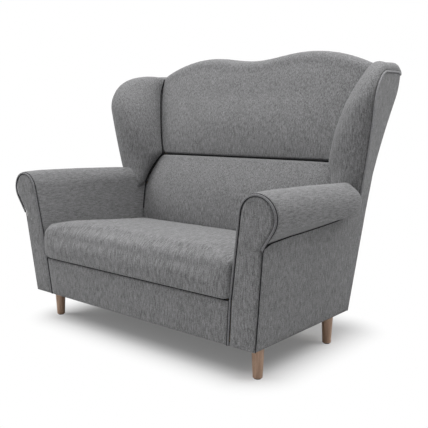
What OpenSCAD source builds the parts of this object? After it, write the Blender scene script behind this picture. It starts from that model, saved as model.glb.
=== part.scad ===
// Two-seater wing-back sofa: beech legs, wooden frame, springs, pads and fabric covers.
// Millimetres. X runs across the sofa, Y from front to back, Z up from the floor.
// The front of the arm facings at the foot of the base is the plane every depth is measured from.

/* [Base] */
// Height of the base above the floor
leg_h = 113; // [90:1:180]
// Width between the arms at the foot of the base
between_arms = 894; // [800:2:1500]
// Height of the front border under the seat cushion
border_h = 146; // [120:1:180]
// Thickness of the wooden rails of the base
rail_t = 24; // [18:1:30]

/* [Legs] */
// Diameter of a leg at its top
leg_top_d = 42; // [36:1:56]
// Diameter of a leg at its foot
leg_foot_d = 31; // [26:1:40]
// Distance from the middle of the sofa to each leg's axis
leg_x = 507; // [440:1:515]
// Distance of the front legs' axes behind the arm fronts
leg_front_y = 84; // [70:1:120]
// Distance of the rear legs' axes in front of the base's rear edge
leg_rear_inset = 75; // [60:1:110]
// Height of the glide under each leg
glide_h = 4; // [2:0.5:6]

/* [Arms] */
// Width of an arm at its foot
arm_foot_w = 106; // [90:1:140]
// Lean of an arm's inner face over the height of the border
arm_rake = 14; // [0:1:30]
// Radius of the arm roll
roll_r = 68; // [55:1:80]
// Distance of the roll's axis outside the arm's inner foot
roll_out = 127; // [110:1:150]
// Height of the roll's axis above the base's lower edge
roll_rise = 411; // [380:1:450]
// Distance from where the roll's end starts to round to the seat cushion's rear edge
roll_short = 52; // [40:1:80]
// Height of the neck under the roll above the base's lower edge
neck_rise = 317; // [280:1:330]
// Distance of the neck outside the arm's outer foot
neck_out = 37; // [20:1:45]
// Thickness of the arm's padding
arm_pad_t = 20; // [14:1:26]
// Forward lean of the arm fronts, in degrees
front_lean = 3.1; // [0:0.1:6]
// Radius of the self-piping
piping_r = 4.7; // [3:0.1:6]
// Thickness of the arm facing's board and fabric
facing_t = 7.7; // [6:0.1:12]

/* [Back] */
// Room for the back behind the seat cushion's rear edge, at the foot of the base
back_room = 52; // [48:1:80]
// Height where the back's kink lies above the floor of the base
knee_rise = 487; // [440:1:520]
// Backward lean of the lower back, run per rise
low_rake = 0.21; // [0.1:0.01:0.26]
// Backward lean of the upper back just over the kink, run per rise
high_rake = 0.284; // [0.2:0.004:0.34]
// Growth of that lean with height, per metre
rake_growth = 0.43; // [0:0.01:0.6]
// Height of the dip in the middle of the top edge, above the base's lower edge
dip_rise = 928; // [880:1:960]
// Height of the two humps of the top edge over the dip
hump_h = 24; // [0:1:50]
// Distance of each hump from the middle
hump_x = 250; // [180:1:300]
// Height of the seam between the back pads, above the base's lower edge
seam_rise = 532; // [500:1:560]
// Thickness of the back's wooden frame
frame_t = 35; // [25:1:40]
// Bulge of the upper back pad
upper_crown = 30; // [10:1:45]
// Bulge of the lower back pad
lower_crown = 34; // [10:1:45]

/* [Wings] */
// Height of the outside wing panel's top edge above the base's lower edge
wing_rise = 847; // [820:1:870]
// Height of the rolled wing top over the panel's top edge
wing_roll_h = 34; // [24:1:44]
// Distance of the wing's front edge behind the seat cushion's rear edge, at arm height
wing_set = 9; // [0:1:20]
// Outward flare of the wing's front edge, run per rise
wing_flare = 0.215; // [0.1:0.005:0.26]
// Forward lean of the wing's front edge, run per rise
wing_lean = 0.085; // [0:0.005:0.12]
// Radius of the wing's top front corner
wing_corner_r = 95; // [60:1:110]
// Thickness of the wing board
wing_board_t = 16; // [12:1:20]

/* [Seat] */
// Depth of the seat cushion behind the arm fronts
seat_d = 522; // [460:1:600]
// Height of the seat cushion's welted edge at the front
seat_edge_h = 136; // [110:1:150]
// Crown of the seat cushion over its edge
seat_crown = 24; // [10:1:40]
// Fall of the seat cushion to the rear
seat_fall = 46; // [20:1:60]
// Overhang of the seat cushion's front over the border
seat_nose = 26; // [10:1:40]
// Number of zigzag springs under the seat
spring_count = 6; // [4:1:8]
// Wire diameter of a zigzag spring
spring_wire = 4; // [3:0.2:5]

/* [Covers] */
// Thickness of the fabric panels on the outside of the frame
panel_t = 10; // [6:1:14]
// Running gap between a soft piece and its neighbour
soft_gap = 0.5; // [0.3:0.1:0.8]
// Gap between a cover and the wood that it lies on
seat_gap = 0.4; // [0.3:0.1:0.6]

/* [Hidden] */

// Colours
fabric = "#8b8b8d";
piping_grey = "#7b7b7d";
beech = "#c9a58a";
pine = "#d8bd8c";
ply = "#c8a878";
steel = "#9a9da1";
black_cloth = "#2b2b2d";
felt = "#cfcac0";

// Depths
base_d = seat_d + back_room;
roll_len = seat_d - roll_short;
wing_y = seat_d + wing_set;

// Heights
z0 = leg_h;
frame_z = z0 + 5;
border_z = z0 + border_h;
deck_t = 4;
deck_z = border_z - deck_t - 2 * seat_gap - soft_gap;
rail_h = deck_z - frame_z;
seam_z = z0 + seam_rise;
knee_z = z0 + knee_rise;
wing_z = z0 + wing_rise;
roll_z = z0 + roll_rise;
neck_z = z0 + neck_rise;
dip_z = z0 + dip_rise;

// The arm's cross-section
inner_x = between_arms / 2;
inner_seat_x = inner_x + arm_rake;
outer_x = inner_x + arm_foot_w;
roll_x = inner_x + roll_out;
neck_x = outer_x + neck_out;

// Point where a line from p touches the circle of radius r round c, on the given side
function touch(p, c, r, side) =
    let (v = c - p, d = norm(v), a = asin(r / d), dir = atan2(v[1], v[0]) + side * a)
    p + sqrt(d * d - r * r) * [cos(dir), sin(dir)];

roll_c = [roll_x, roll_z];
inner_touch = touch([inner_seat_x, border_z], roll_c, roll_r, 1);
// Width of the arm's inner face at height z
function arm_in(z) = z < border_z
    ? inner_x + arm_rake * (z - z0) / border_h
    : inner_seat_x + (inner_touch[0] - inner_seat_x) * (z - border_z) / (inner_touch[1] - border_z);

// The rear of the sofa: depth and half width of its outside edge at height z
function rear_y(z) = z < knee_z
    ? base_d + low_rake * (z - z0)
    : let (h = min(z, straight_z) - knee_z)
      base_d + low_rake * knee_rise + high_rake * h + rake_growth / 1000 * h * h;
straight_h = 60;
straight_z = wing_z - straight_h;
rear_foot_x = outer_x - 1;
function rear_x(z) = z < knee_z
    ? rear_foot_x + 0.05 * (z - z0)
    : rear_foot_x + 0.05 * knee_rise + 0.094 * (z - knee_z);
// Heights between z1 and z2 where the pieces of the back bend, so that all bend at the same ones
rear_bends = concat([for (k = [0:8]) knee_z + (straight_z - knee_z) * k / 8]);
function rear_levels(z1, z2) = concat([z1], [for (z = rear_bends) if (z > z1 + 1 && z < z2 - 1) z], [z2]);
// Front face of the back frame, and the plane that the pads lie on
function frame_y(z) = rear_y(z) - panel_t - seat_gap - frame_t;
web_t = 2;
function pad_rear_y(z) = frame_y(z) - web_t - 3 * seat_gap;

// The wing's front edge at height z: set back by run, over its rounded top corner and behind the roll
arm_z = z0 + 466;
wing_foot_x = outer_x + 56;
wing_bow = 0.00018;
corner_z = wing_z - wing_corner_r;
function edge_x(z) = let (h = z - arm_z) wing_foot_x + wing_flare * h - wing_bow * h * h;
function edge_y(z) = wing_y - wing_lean * (z - arm_z);
function roll_back(z) = roll_len + 2 + roll_r * pow(max(0, 1 - pow((z - roll_z) / roll_r, 4)), 0.25);
function corner_run(z) = z < corner_z ? max(0, roll_back(z) - edge_y(z))
    : wing_corner_r - sqrt(max(0, pow(wing_corner_r, 2) - pow(z - corner_z, 2)));

// Height of the double-humped top edge at distance x from the middle
function top_z(x) = abs(x) < hump_x
    ? dip_z + hump_h * (1 - cos(180 * abs(x) / hump_x)) / 2
    : dip_z + hump_h - 0.00083 * pow(abs(x) - hump_x, 2);

// Half width of the crest, its height and how far it reaches down behind
crest_x = inner_x + 80;
crest_h = 45;
hook_h = 80;
hook_low_z = top_z(crest_x) - hook_h;

// The crease between wing and back: over the roll it runs in to the seam, then out to the top
crease_low_z = roll_z + 20;
crease_top_rise = 875;
crease_top_z = z0 + crease_top_rise;
crease_seam_x = inner_x - 7;
crease_seam_y = wing_y + 89;
function crease_x(z) = z < crease_low_z ? arm_in(roll_z) + crease_low_z - z
    : z < seam_z
    ? crease_seam_x + (arm_in(roll_z) - crease_seam_x) * (seam_z - z) / (seam_z - crease_low_z)
    : crease_seam_x + (crest_x - crease_seam_x) * min(1, (z - seam_z) / (hook_low_z - seam_z));
function crease_y(z) = z < seam_z ? crease_seam_y - 0.36 * (seam_z - z)
    : let (t = (z - seam_z) / (crease_top_z - seam_z)) crease_seam_y + 107 * t - 40 * t * (1 - t);

facing_set = 2;
// Overall depth, which sets the origin under the middle of the sofa
lip_min = piping_r - (facing_set + facing_t - piping_r) * cos(front_lean)
    + (roll_rise + roll_r - piping_r) * sin(front_lean);
front_min = -max(seat_nose, lip_min);
rear_max = rear_y(wing_z);
y_mid = (front_min + rear_max) / 2;

module place() translate([0, -y_mid, 0]) children();
module side(s) mirror([s < 0 ? 1 : 0, 0, 0]) children();
// Extrudes a shape drawn in depth and height across the sofa, from x1 to x2
module across(x1, x2) translate([x1, 0, 0]) rotate([90, 0, 90]) linear_extrude(x2 - x1) children();
// Extrudes a shape drawn in width and height from y1 to y2
module along(y1, y2) translate([0, y2, 0]) rotate([90, 0, 0]) linear_extrude(y2 - y1) children();
// Leans a piece forward with the arm fronts
module leaned() translate([0, 0, z0]) rotate([front_lean, 0, 0]) translate([0, 0, -z0]) children();

// Closed solid through a list of rings that have the same number of points. Its ends are flat, or fans
// of triangles round the middle, or ladders of triangles between the ring's first and last points.
FLAT = 0;
FAN = 1;
LADDER = 2;
function middle(r) = [for (i = [0:2]) let (v = [for (p = r) p[i]]) v * [for (p = r) 1] / len(r)];
function ring_sides(n, m) = [for (k = [0:m - 2], i = [0:n - 1], h = [0, 1])
    let (a = k * n + i, b = k * n + (i + 1) % n, c = a + n, d = b + n) h == 0 ? [a, c, b] : [b, c, d]];
function end_faces(n, ends) = ends == FAN ? [for (i = [0:n - 1]) [i, (i + 1) % n, n]]
    : ends == FLAT ? [[for (i = [0:n - 1]) i]]
    : [for (i = [0:floor(n / 2) - 1], h = [0, 1]) let (c = n - 2 - i)
        if (h == 0 || c > i + 1) h == 0 ? [i, i + 1, n - 1 - i] : [i + 1, c, n - 1 - i]];
function ring_ends(n, m, ends) = let (first = end_faces(n, ends)) concat(
    [for (f = first) [for (i = f) i == n ? m * n : i]],
    [for (f = first) [for (k = [len(f) - 1:-1:0]) f[k] == n ? m * n + 1 : (m - 1) * n + f[k]]]);
module rings(list, ends = FLAT) {
    n = len(list[0]);
    m = len(list);
    polyhedron([each for (r = list) r, middle(list[0]), middle(list[m - 1])],
        concat(ring_sides(n, m), ring_ends(n, m, ends)), convexity = 6);
}
// Round tube along a path; ref is square to the plane that the path bends in
function path_dir(path, i) = let (d = path[min(len(path) - 1, i + 1)] - path[max(0, i - 1)]) d / norm(d);
module tube(path, r, ref) {
    rings([for (i = [0:len(path) - 1]) let (d = path_dir(path, i), u = cross(d, ref) / norm(cross(d, ref)),
        w = cross(d, u)) [for (k = [0:7]) path[i] + r * (cos(k * 45) * u + sin(k * 45) * w)]]);
}

// Wooden base frame
rail_y = 29;
rail_x = rear_foot_x - panel_t - 1;
post_w = 45;
post_x = rail_x - post_w;
rear_rail_y = frame_y(frame_z) + 4;

module box_between(p, q) translate(p) cube(q - p);

module front_rail() color(pine) place()
    box_between([-rail_x, rail_y, frame_z], [rail_x, rail_y + rail_t, deck_z]);

module rear_rail() color(pine) place()
    box_between([-post_x + seat_gap, rear_rail_y, frame_z],
        [post_x - seat_gap, rear_rail_y + rail_t, deck_z]);

module side_rail(s) color(pine) place() side(s)
    box_between([rail_x - rail_t, rail_y + rail_t + seat_gap, frame_z],
        [rail_x, frame_y(frame_z) - seat_gap, deck_z]);
module side_rail_left() side_rail(-1);
module side_rail_right() side_rail(1);

stretcher_w = 40;
module centre_stretcher() color(pine) place()
    box_between([-stretcher_w / 2, rail_y + rail_t + seat_gap, frame_z],
        [stretcher_w / 2, rear_rail_y - seat_gap, frame_z + rail_h / 2]);

leg_rear_y = base_d - leg_rear_inset;
leg_places = [for (sx = [-1, 1], y = [leg_front_y, leg_rear_y]) [sx, y]];
block_h = 45;
block_cut = 30;
bolt_r = 4;
bolt_clear = 0.3;
plate_t = 2.6;
plate_w = 52;
// Each block is glued into the corner of two rails, with its long side facing the middle
module corner_blocks() color(ply) place() for (p = leg_places) side(p[0]) {
    front = p[1] == leg_front_y;
    y1 = front ? rail_y + rail_t + seat_gap : p[1] - leg_top_d;
    y2 = front ? p[1] + leg_top_d : frame_y(frame_z) - seat_gap;
    x2 = rail_x - rail_t - seat_gap;
    x1 = leg_x - leg_top_d;
    difference() {
        translate([0, 0, frame_z]) linear_extrude(block_h)
            polygon(front ? [[x1, y1], [x2, y1], [x2, y2], [x2 - block_cut, y2], [x1, y1 + block_cut]]
                : [[x1, y2], [x1, y2 - block_cut], [x2 - block_cut, y1], [x2, y1], [x2, y2]]);
        translate([leg_x, p[1], frame_z - 1]) cylinder(r = bolt_r + bolt_clear, h = block_h + 2, $fn = 48);
    }
}

// Zigzag springs, laid flat from the front rail to the rear rail
spring_z = deck_z - 6;
loop_r = 14;
spring_w = 46;
spring_y1 = rail_y + rail_t + 8;
spring_y2 = rear_rail_y - 8;
loops = floor((spring_y2 - spring_y1) / (2 * loop_r));
loop_pitch = (spring_y2 - spring_y1) / loops;
spring_xs = [for (i = [0:spring_count - 1]) (i - (spring_count - 1) / 2) * (2 * post_x - 90) / spring_count];

module wire(len) cylinder(d = spring_wire, h = len, $fn = 24);
module zigzag() for (k = [0:loops]) translate([0, spring_y1 + k * loop_pitch, spring_z]) {
    translate([-spring_w / 2, 0, 0]) rotate([0, 90, 0]) wire(spring_w);
    if (k < loops) translate([(k % 2 == 0 ? 1 : -1) * spring_w / 2, loop_pitch / 2, 0])
        rotate([0, 0, k % 2 == 0 ? -90 : 90]) rotate_extrude(angle = 180, $fn = 48)
            translate([loop_pitch / 2, 0]) circle(d = spring_wire, $fn = 24);
}
module seat_springs() color(steel) place() for (x = spring_xs) translate([x, 0, 0]) zigzag();

clip_w = 24;
clip_gap = 0.2;
// A clip is a bent strap on the rail that holds a spring's end wire
module clip(y_rail, y_wire) {
    r = spring_wire / 2 + clip_gap;
    lo = min(y_rail, y_wire);
    difference() {
        translate([-clip_w / 2, lo - (y_wire < y_rail ? r + 1.4 : 0), spring_z - r - 1.4])
            cube([clip_w, abs(y_wire - y_rail) + r + 1.4, 2 * r + 2.8]);
        translate([-clip_w, y_wire, spring_z]) rotate([0, 90, 0]) cylinder(r = r, h = 2 * clip_w, $fn = 32);
    }
}
module spring_clips() color(steel) place() for (x = spring_xs) translate([x, 0, 0]) {
    clip(rail_y + rail_t + seat_gap, spring_y1);
    clip(rear_rail_y - seat_gap, spring_y2);
}

deck_in = 24;
module seat_deck() color(felt) place()
    box_between([-rail_x + deck_in, rail_y, deck_z + seat_gap],
        [rail_x - deck_in, frame_y(deck_z) - seat_gap, deck_z + seat_gap + deck_t]);

cover_t = 1.5;
module dust_cover() color(black_cloth) place() difference() {
    box_between([-rail_x, rail_y, frame_z - seat_gap - cover_t],
        [rail_x, frame_y(frame_z) - seat_gap, frame_z - seat_gap]);
    for (p = leg_places) side(p[0]) translate([leg_x, p[1], (z0 + frame_z) / 2 + 1])
        cube([plate_w + 2, plate_w + 2, frame_z - z0 + 1], center = true);
}

// Legs and their fixings
leg_seat_z = frame_z - seat_gap - plate_t;
module leg(sx, y) color(beech) place() side(sx) translate([leg_x, y, 0]) difference() {
    translate([0, 0, glide_h]) cylinder(d1 = leg_foot_d, d2 = leg_top_d, h = leg_seat_z - glide_h, $fn = 96);
    translate([0, 0, leg_seat_z - 40]) cylinder(r = bolt_r + bolt_clear, h = 50, $fn = 48);
    translate([0, 0, glide_h - 1]) cylinder(r = 1.6, h = 16, $fn = 24);
}
module leg_front_left() leg(-1, leg_front_y);
module leg_front_right() leg(1, leg_front_y);
module leg_rear_left() leg(-1, leg_rear_y);
module leg_rear_right() leg(1, leg_rear_y);

module leg_plates() color(steel) place() for (p = leg_places) side(p[0]) translate([leg_x, p[1], leg_seat_z])
    difference() {
        translate([-plate_w / 2, -plate_w / 2, 0]) cube([plate_w, plate_w, plate_t]);
        translate([0, 0, -1]) cylinder(r = bolt_r + bolt_clear, h = plate_t + 2, $fn = 48);
        for (a = [45:90:315]) rotate([0, 0, a]) translate([plate_w * 0.55, 0, -1])
            cylinder(r = 2.2, h = plate_t + 2, $fn = 32);
    }

module hanger_bolts() color(steel) place() for (p = leg_places) side(p[0])
    translate([leg_x, p[1], leg_seat_z - 38]) cylinder(r = bolt_r, h = 38 + plate_t + block_h - 6, $fn = 48);

module leg_glides() color(black_cloth) place() for (p = leg_places) side(p[0]) translate([leg_x, p[1], 0]) {
    cylinder(d1 = leg_foot_d - 8, d2 = leg_foot_d - 5, h = glide_h - 0.01, $fn = 64);
    cylinder(r = 1.3, h = glide_h + 12, $fn = 24);
}

// Arm outline in width and height, set in from the cover's outside by t: up the inner face from the
// height low, over the roll and down to the neck and the outer foot
function roll_turns(t) = let (r = roll_r - t, a = touch([inner_seat_x + t, border_z], roll_c, r, 1) - roll_c,
    b = touch([neck_x - t, neck_z], roll_c, r, -1) - roll_c, a0 = atan2(a[1], a[0]), a1 = atan2(b[1], b[0]))
    [for (k = [0:30]) a0 + (a1 - a0) * k / 30];
function arm_outline(t, low) = concat([[inner_x + t, low], [inner_seat_x + t, border_z]],
    [for (w = roll_turns(t)) roll_c + (roll_r - t) * [cos(w), sin(w)]],
    [[neck_x - t, neck_z], [outer_x - t, low]]);

// The cover and padding of the inside arm and the roll, open on the outside below the neck
module arm_shell() difference() {
    polygon(arm_outline(0, z0));
    polygon(arm_outline(arm_pad_t, z0 - 1));
    polygon([[inner_x + arm_pad_t, z0 - 1], [inner_seat_x + arm_pad_t, border_z],
        [inner_seat_x + arm_pad_t + 30, neck_z], [neck_x + 20, neck_z], [neck_x + 20, z0 - 1]]);
}
face_y = facing_set + facing_t + seat_gap;
// The roll's rear end: its outside rounds off against the wing, its inside runs on to the back
inner_end_x = roll_x - 22;
inner_end_y = roll_len + 105;
function end_share(w) = w > 100 ? 0 : w < 20 ? 1 : (1 - cos((100 - w) / 80 * 180)) / 2;
function end_ring(y) = let (t = min(1, (y - roll_len) / roll_r), cut = 1 - sqrt(1 - t * t * 0.99),
    foot = neck_x + (side_x(roll_end, neck_z) - neck_x) * t)
    [for (q = concat([[arm_in(neck_z), neck_z]], [for (w = roll_turns(0))
        roll_c + roll_r * (1 - end_share(w) * cut) * [cos(w), sin(w)]], [[foot, neck_z]]))
        [q[0], y, q[1]]];
module roll_end_solid() {
    rings([for (a = [0:15:75]) end_ring(roll_len + roll_r * sin(a)), end_ring(roll_len + roll_r)]);
    along(roll_len, inner_end_y) polygon(concat([[arm_in(neck_z), neck_z]],
        [for (w = roll_turns(0)) if (w > 110) roll_c + roll_r * [cos(w), sin(w)]],
        [[inner_end_x, roll_z + roll_r * sin(110)], [inner_end_x, neck_z]]));
}
module arm_pad(s) color(fabric) place() side(s) difference() {
    union() {
        along(-60, roll_len) arm_shell();
        roll_end_solid();
        along(roll_len - 1, base_d) intersection() {
            arm_shell();
            translate([0, z0]) square([inner_seat_x + 60, neck_rise + 1]);
        }
    }
    leaned() box_between([0, -200, -z0], [2 * roll_x, face_y, 2 * roll_z]);
    box_between([0, -200, 0], [2 * roll_x, 2 * base_d, deck_z + 2 * seat_gap + deck_t]);
    across(0, 2 * roll_x) polygon([for (z = [z0, knee_z]) [frame_y(z) - seat_gap, z], [2 * base_d, knee_z],
        [2 * base_d, z0]]);
}
module arm_pad_left() arm_pad(-1);
module arm_pad_right() arm_pad(1);

facing_in = 2 * piping_r + 0.8;
module arm_facing(s) color(fabric) place() side(s) intersection() {
    leaned() along(facing_set, facing_set + facing_t) polygon(arm_outline(facing_in, z0 - 5));
    box_between([0, -200, z0], [2 * roll_x, 200, 2 * roll_z]);
}
module arm_facing_left() arm_facing(-1);
module arm_facing_right() arm_facing(1);

// Self-piping round the facing, from the foot inside, over the roll and down the outside
module facing_piping(s) color(piping_grey) place() side(s) leaned()
    tube([for (q = arm_outline(piping_r, z0 + 1)) [q[0], facing_set + facing_t - piping_r, q[1]]], piping_r,
        [0, 1, 0]);
module facing_piping_left() facing_piping(-1);
module facing_piping_right() facing_piping(1);

// Wooden arm frame
board_in = arm_pad_t + seat_gap;
front_board_t = 18;
module arm_front_board(s) color(ply) place() side(s) intersection() {
    leaned() along(face_y, face_y + front_board_t) polygon(arm_outline(board_in + 1, z0 - 5));
    box_between([0, -200, frame_z], [2 * roll_x, 200, 2 * roll_z]);
    across(0, 2 * roll_x) polygon([[-200, z0], [rail_y - seat_gap, z0], [rail_y - seat_gap, 2 * roll_z],
        [-200, 2 * roll_z]]);
}
module arm_front_board_left() arm_front_board(-1);
module arm_front_board_right() arm_front_board(1);

arm_board_y1 = 30;
arm_board_y2 = roll_len - 20;
module arm_top_board(s) color(pine) place() side(s)
    along(arm_board_y1, arm_board_y2) translate([roll_x, roll_z]) difference() {
        circle(r = roll_r - board_in, $fn = 96);
        translate([-roll_r, -roll_r]) square([2 * roll_r, roll_r]);
    }
module arm_top_board_left() arm_top_board(-1);
module arm_top_board_right() arm_top_board(1);

rear_board_in = panel_t + 12;
rear_board_low = deck_z + deck_t + 2 * seat_gap;
module arm_rear_board(s) color(ply) place() side(s) along(arm_board_y2 - front_board_t, arm_board_y2)
    polygon([[arm_in(rear_board_low) + board_in + 4, rear_board_low],
        [arm_in(roll_z) + board_in, roll_z - seat_gap],
        [side_x(arm_board_y2, neck_z) - rear_board_in, roll_z - seat_gap],
        [side_x(arm_board_y2, neck_z) - rear_board_in, neck_z],
        [side_x(arm_board_y2, rear_board_low) - rear_board_in, rear_board_low]]);
module arm_rear_board_left() arm_rear_board(-1);
module arm_rear_board_right() arm_rear_board(1);

// Outside arm: a flat panel from the base's foot to the neck, and up behind the roll's end
panel_top = roll_z - 34;
function side_x(y, z) =
    let (front = outer_x + (neck_out - 1) * (z - z0) / neck_rise, back = rear_x(z), t = y / rear_y(z))
    front * (1 - t) + back * t;
function panel_section(yf, z, t) = let (yr = rear_y(z))
    [[side_x(yf, z), yf, z], [side_x(yr, z), yr, z], [side_x(yr, z) - t, yr, z], [side_x(yf, z) - t, yf, z]];
function lean_y(z) = -tan(front_lean) * (z - z0);
roll_end = roll_len + roll_r + 1;
module outside_arm(s) color(fabric) place() side(s) rings([
    panel_section(face_y, z0, panel_t),
    panel_section(face_y + lean_y(neck_z - 1), neck_z - 1, panel_t),
    panel_section(roll_end, neck_z - 0.5, panel_t),
    panel_section(roll_end, panel_top, panel_t)]);
module outside_arm_left() outside_arm(-1);
module outside_arm_right() outside_arm(1);

// Outside wing: the outer line at height z runs from the front edge to the rear edge
function outer_front(z) = let (run = corner_run(z), e = [edge_x(z), edge_y(z)], r = [rear_x(z), rear_y(z)])
    e + (r - e) * run / (r[1] - e[1]);
// A point on the outer line at depth y, set in by t
function outer_at(z, y, t) = let (f = outer_front(z), r = [rear_x(z), rear_y(z)])
    f[0] + (r[0] - f[0]) * (y - f[1]) / (r[1] - f[1]) - t;
wing_low = panel_top + 2;
// Heights for a piece whose edge lies d inside the wing's outline, and its front edge at height z
function inset_zs(d) = concat([for (k = [0:10]) wing_low + (corner_z - wing_low) * k / 10],
    [for (a = [15:15:90]) corner_z + (wing_corner_r - d) * sin(a)]);
function inset_y(z, d) = z < corner_z ? outer_front(z)[1] + d
    : edge_y(z) + wing_corner_r - sqrt(max(0, pow(wing_corner_r - d, 2) - pow(z - corner_z, 2)));
function wing_strip(z, y1, y2, t1, t2) = [[outer_at(z, y1, t1), y1, z], [outer_at(z, y2, t1), y2, z],
    [outer_at(z, y2, t2), y2, z], [outer_at(z, y1, t2), y1, z]];
edge_set = 3;
module outside_wing(s) color(fabric) place() side(s) rings([for (z = inset_zs(edge_set))
    wing_strip(z, inset_y(z, edge_set), rear_y(z), 0, panel_t)]);
module outside_wing_left() outside_wing(-1);
module outside_wing_right() outside_wing(1);

// Wing board: plywood behind the outside wing panel, held off the wing's rolled front edge and top
board_front = 40;
board_t1 = panel_t + 2;
board_t2 = board_t1 + wing_board_t;
module wing_board(s) color(ply) place() side(s) rings([for (z = inset_zs(board_front))
    wing_strip(z, inset_y(z, board_front), frame_y(z) - 2, board_t1, board_t2)]);
module wing_board_left() wing_board(-1);
module wing_board_right() wing_board(1);

// Wing pad: a thick roll swept up the front edge, round the corner and along the top to the rear. A station
// holds a point on the piping line, its point on the crease and the turn of the line from upright.
join_z = crease_top_z - 3;
roof_y2 = rear_y(wing_z) - 1;
function crease_point(y, z) = [crease_x(z) + soft_gap, y, z];
function front_station(z) = [concat(outer_front(z), z), crease_point(crease_y(z), z), 0];
function corner_station(a) = let (z = corner_z + wing_corner_r * sin(a),
    zc = corner_z + (join_z - corner_z) * sin(a))
    [concat(outer_front(z), z), crease_point(crease_y(zc), zc), a];
function top_station(t) = let (y0 = outer_front(wing_z)[1], y = y0 + (roof_y2 - y0) * t,
    y1 = crease_y(join_z))
    [[outer_at(wing_z, y, 0), y, wing_z], crease_point(y1 + (roof_y2 - y1) * t, join_z - 25 * t * t), 90];
pad_low = roll_z + 24;
over_roll = 16;
pad_over = roll_z + roll_r + over_roll + 1;
stations = concat([for (z = [0, 14, 28, 38, 45]) front_station(pad_low + z)],
    [for (k = [0:6]) front_station(pad_over + (corner_z - pad_over) * k / 6)],
    [for (a = [15:15:90]) corner_station(a)], [for (t = [0.25, 0.5, 0.75, 0.93, 1]) top_station(t)]);
function bez(p, t) = pow(1 - t, 3) * p[0] + 3 * t * pow(1 - t, 2) * p[1] + 3 * t * t * (1 - t) * p[2]
    + pow(t, 3) * p[3];
// Pull of the roll's curve at the piping and at the crease: [inward, outward of the line], front and top
edge_pull = [[-61, 58], [-5, 45]];
crease_pull = [[-32, 124], [25, 15]];
low_crease_pull = [-10, 80];
low_bulge = 0.65;
function bulge(z) = min(1, max(0, (z - seam_z) / 80));
function pull(v, e) = [v[0], e[1] * v[1], e[2] * v[1]];
// Behind the roll's rear end, the pad keeps clear of it, by 1.5 or for its hidden side by more, and beside
// the piping at f it stays level with f
function off_roll(p, f, clear = 1.5) = norm([p[0], p[2]] - roll_c) > roll_r + over_roll ? p
    : [p[0], max(p[1], p[0] < inner_end_x + 16 ? inner_end_y + clear
        : p[0] > f[0] - panel_t - 3 ? f[1] : roll_len + roll_r + clear), p[2]];
function pad_ring(st) = let (f = st[0], c = st[1], a = st[2], w = a / 90, e = [0, -cos(a), sin(a)],
    tip = f[1] > roof_y2 - 1 ? 0.6 : 1, b = a > 0 ? 1 : bulge(f[2]),
    pe = tip * (edge_pull[0] * (1 - w) * (low_bulge + (1 - low_bulge) * b) + edge_pull[1] * w),
    pc = tip * ((low_crease_pull * (1 - b) + crease_pull[0] * b) * (1 - w) + crease_pull[1] * w),
    q = f - (board_front - 2) * e, zc = c[2] - 14 * e[2])
    concat([for (i = [0:11]) off_roll(bez([c, c + pull(pc, e), f + pull(pe, e), f], i / 12), f)], [f],
        [for (p = [f - [panel_t + 2, 0, 0] - e, [outer_at(q[2], q[1], panel_t + 2), q[1], q[2]],
            [outer_at(q[2], q[1], board_t2 + soft_gap), q[1], q[2]], c + [22, 0, 0] - 16 * e,
            crease_point(c[1] - 14 * e[1], zc)]) off_roll(p, f, 2.7)]);
module wing_pad(s) color(fabric) place() side(s) rings([for (st = stations) pad_ring(st)]);
module wing_pad_left() wing_pad(-1);
module wing_pad_right() wing_pad(1);

// Piping along the wing's front edge, round its corner and along its top
pipe_out = piping_r + 0.6;
module wing_piping(s) color(piping_grey) place() side(s)
    tube([for (st = stations) if (st[0][2] > roll_z + roll_r * 0.6)
        st[0] + [pipe_out, -2.6 * cos(st[2]) - (st[0][1] > roof_y2 - 1 ? piping_r : 0), 2.6 * sin(st[2])]],
        piping_r, [1, 0, 0]);
module wing_piping_left() wing_piping(-1);
module wing_piping_right() wing_piping(1);

// Back frame
module slab_shape(z1, z2) let (zs = rear_levels(z1, z2), n = len(zs) - 1) polygon(concat(
    [for (z = zs) [frame_y(z), z]], [for (k = [n:-1:0]) [frame_y(zs[k]) + frame_t, zs[k]]]));
post_top = top_z(rail_x) - hook_h - 4;
module back_post(s) color(pine) place() side(s) across(post_x, rail_x) slab_shape(frame_z, post_top);
module back_post_left() back_post(-1);
module back_post_right() back_post(1);

top_rail_h = 80;
back_rail_h = 60;
low_rail_drop = 300;
web_lap = 5;
span_x = post_x - seat_gap;
module back_top_rail() color(pine) place() intersection() {
    across(-span_x, span_x) slab_shape(dip_z - 4 * top_rail_h, dip_z);
    along(0, 2 * base_d) polygon(concat(
        [for (x = [-span_x:span_x / 16:span_x]) [x, top_z(x) - hook_h - seat_gap - 1]],
        [for (x = [span_x:-span_x / 16:-span_x]) [x, top_z(x) - hook_h - top_rail_h]]));
}
module back_mid_rail() color(pine) place() across(-span_x, span_x)
    slab_shape(seam_z - back_rail_h / 2, seam_z + back_rail_h / 2);
module back_low_rail() color(pine) place() across(-span_x, span_x)
    slab_shape(seam_z - low_rail_drop - back_rail_h / 2, seam_z - low_rail_drop + back_rail_h / 2);

web_w = 50;
web_count = 7;
module back_webbing() color(felt) place() for (i = [0:web_count - 1]) {
    x = (i - (web_count - 1) / 2) * (2 * span_x - web_w) / web_count;
    z1 = seam_z - low_rail_drop - back_rail_h / 2 + web_lap;
    z2 = top_z(x) - hook_h - top_rail_h / 4;
    zs = rear_levels(z1, z2);
    across(x - web_w / 2, x + web_w / 2) polygon(concat([for (z = zs) [frame_y(z) - seat_gap - web_t, z]],
        [for (k = [len(zs) - 1:-1:0]) [frame_y(zs[k]) - seat_gap, zs[k]]]));
}

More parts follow.
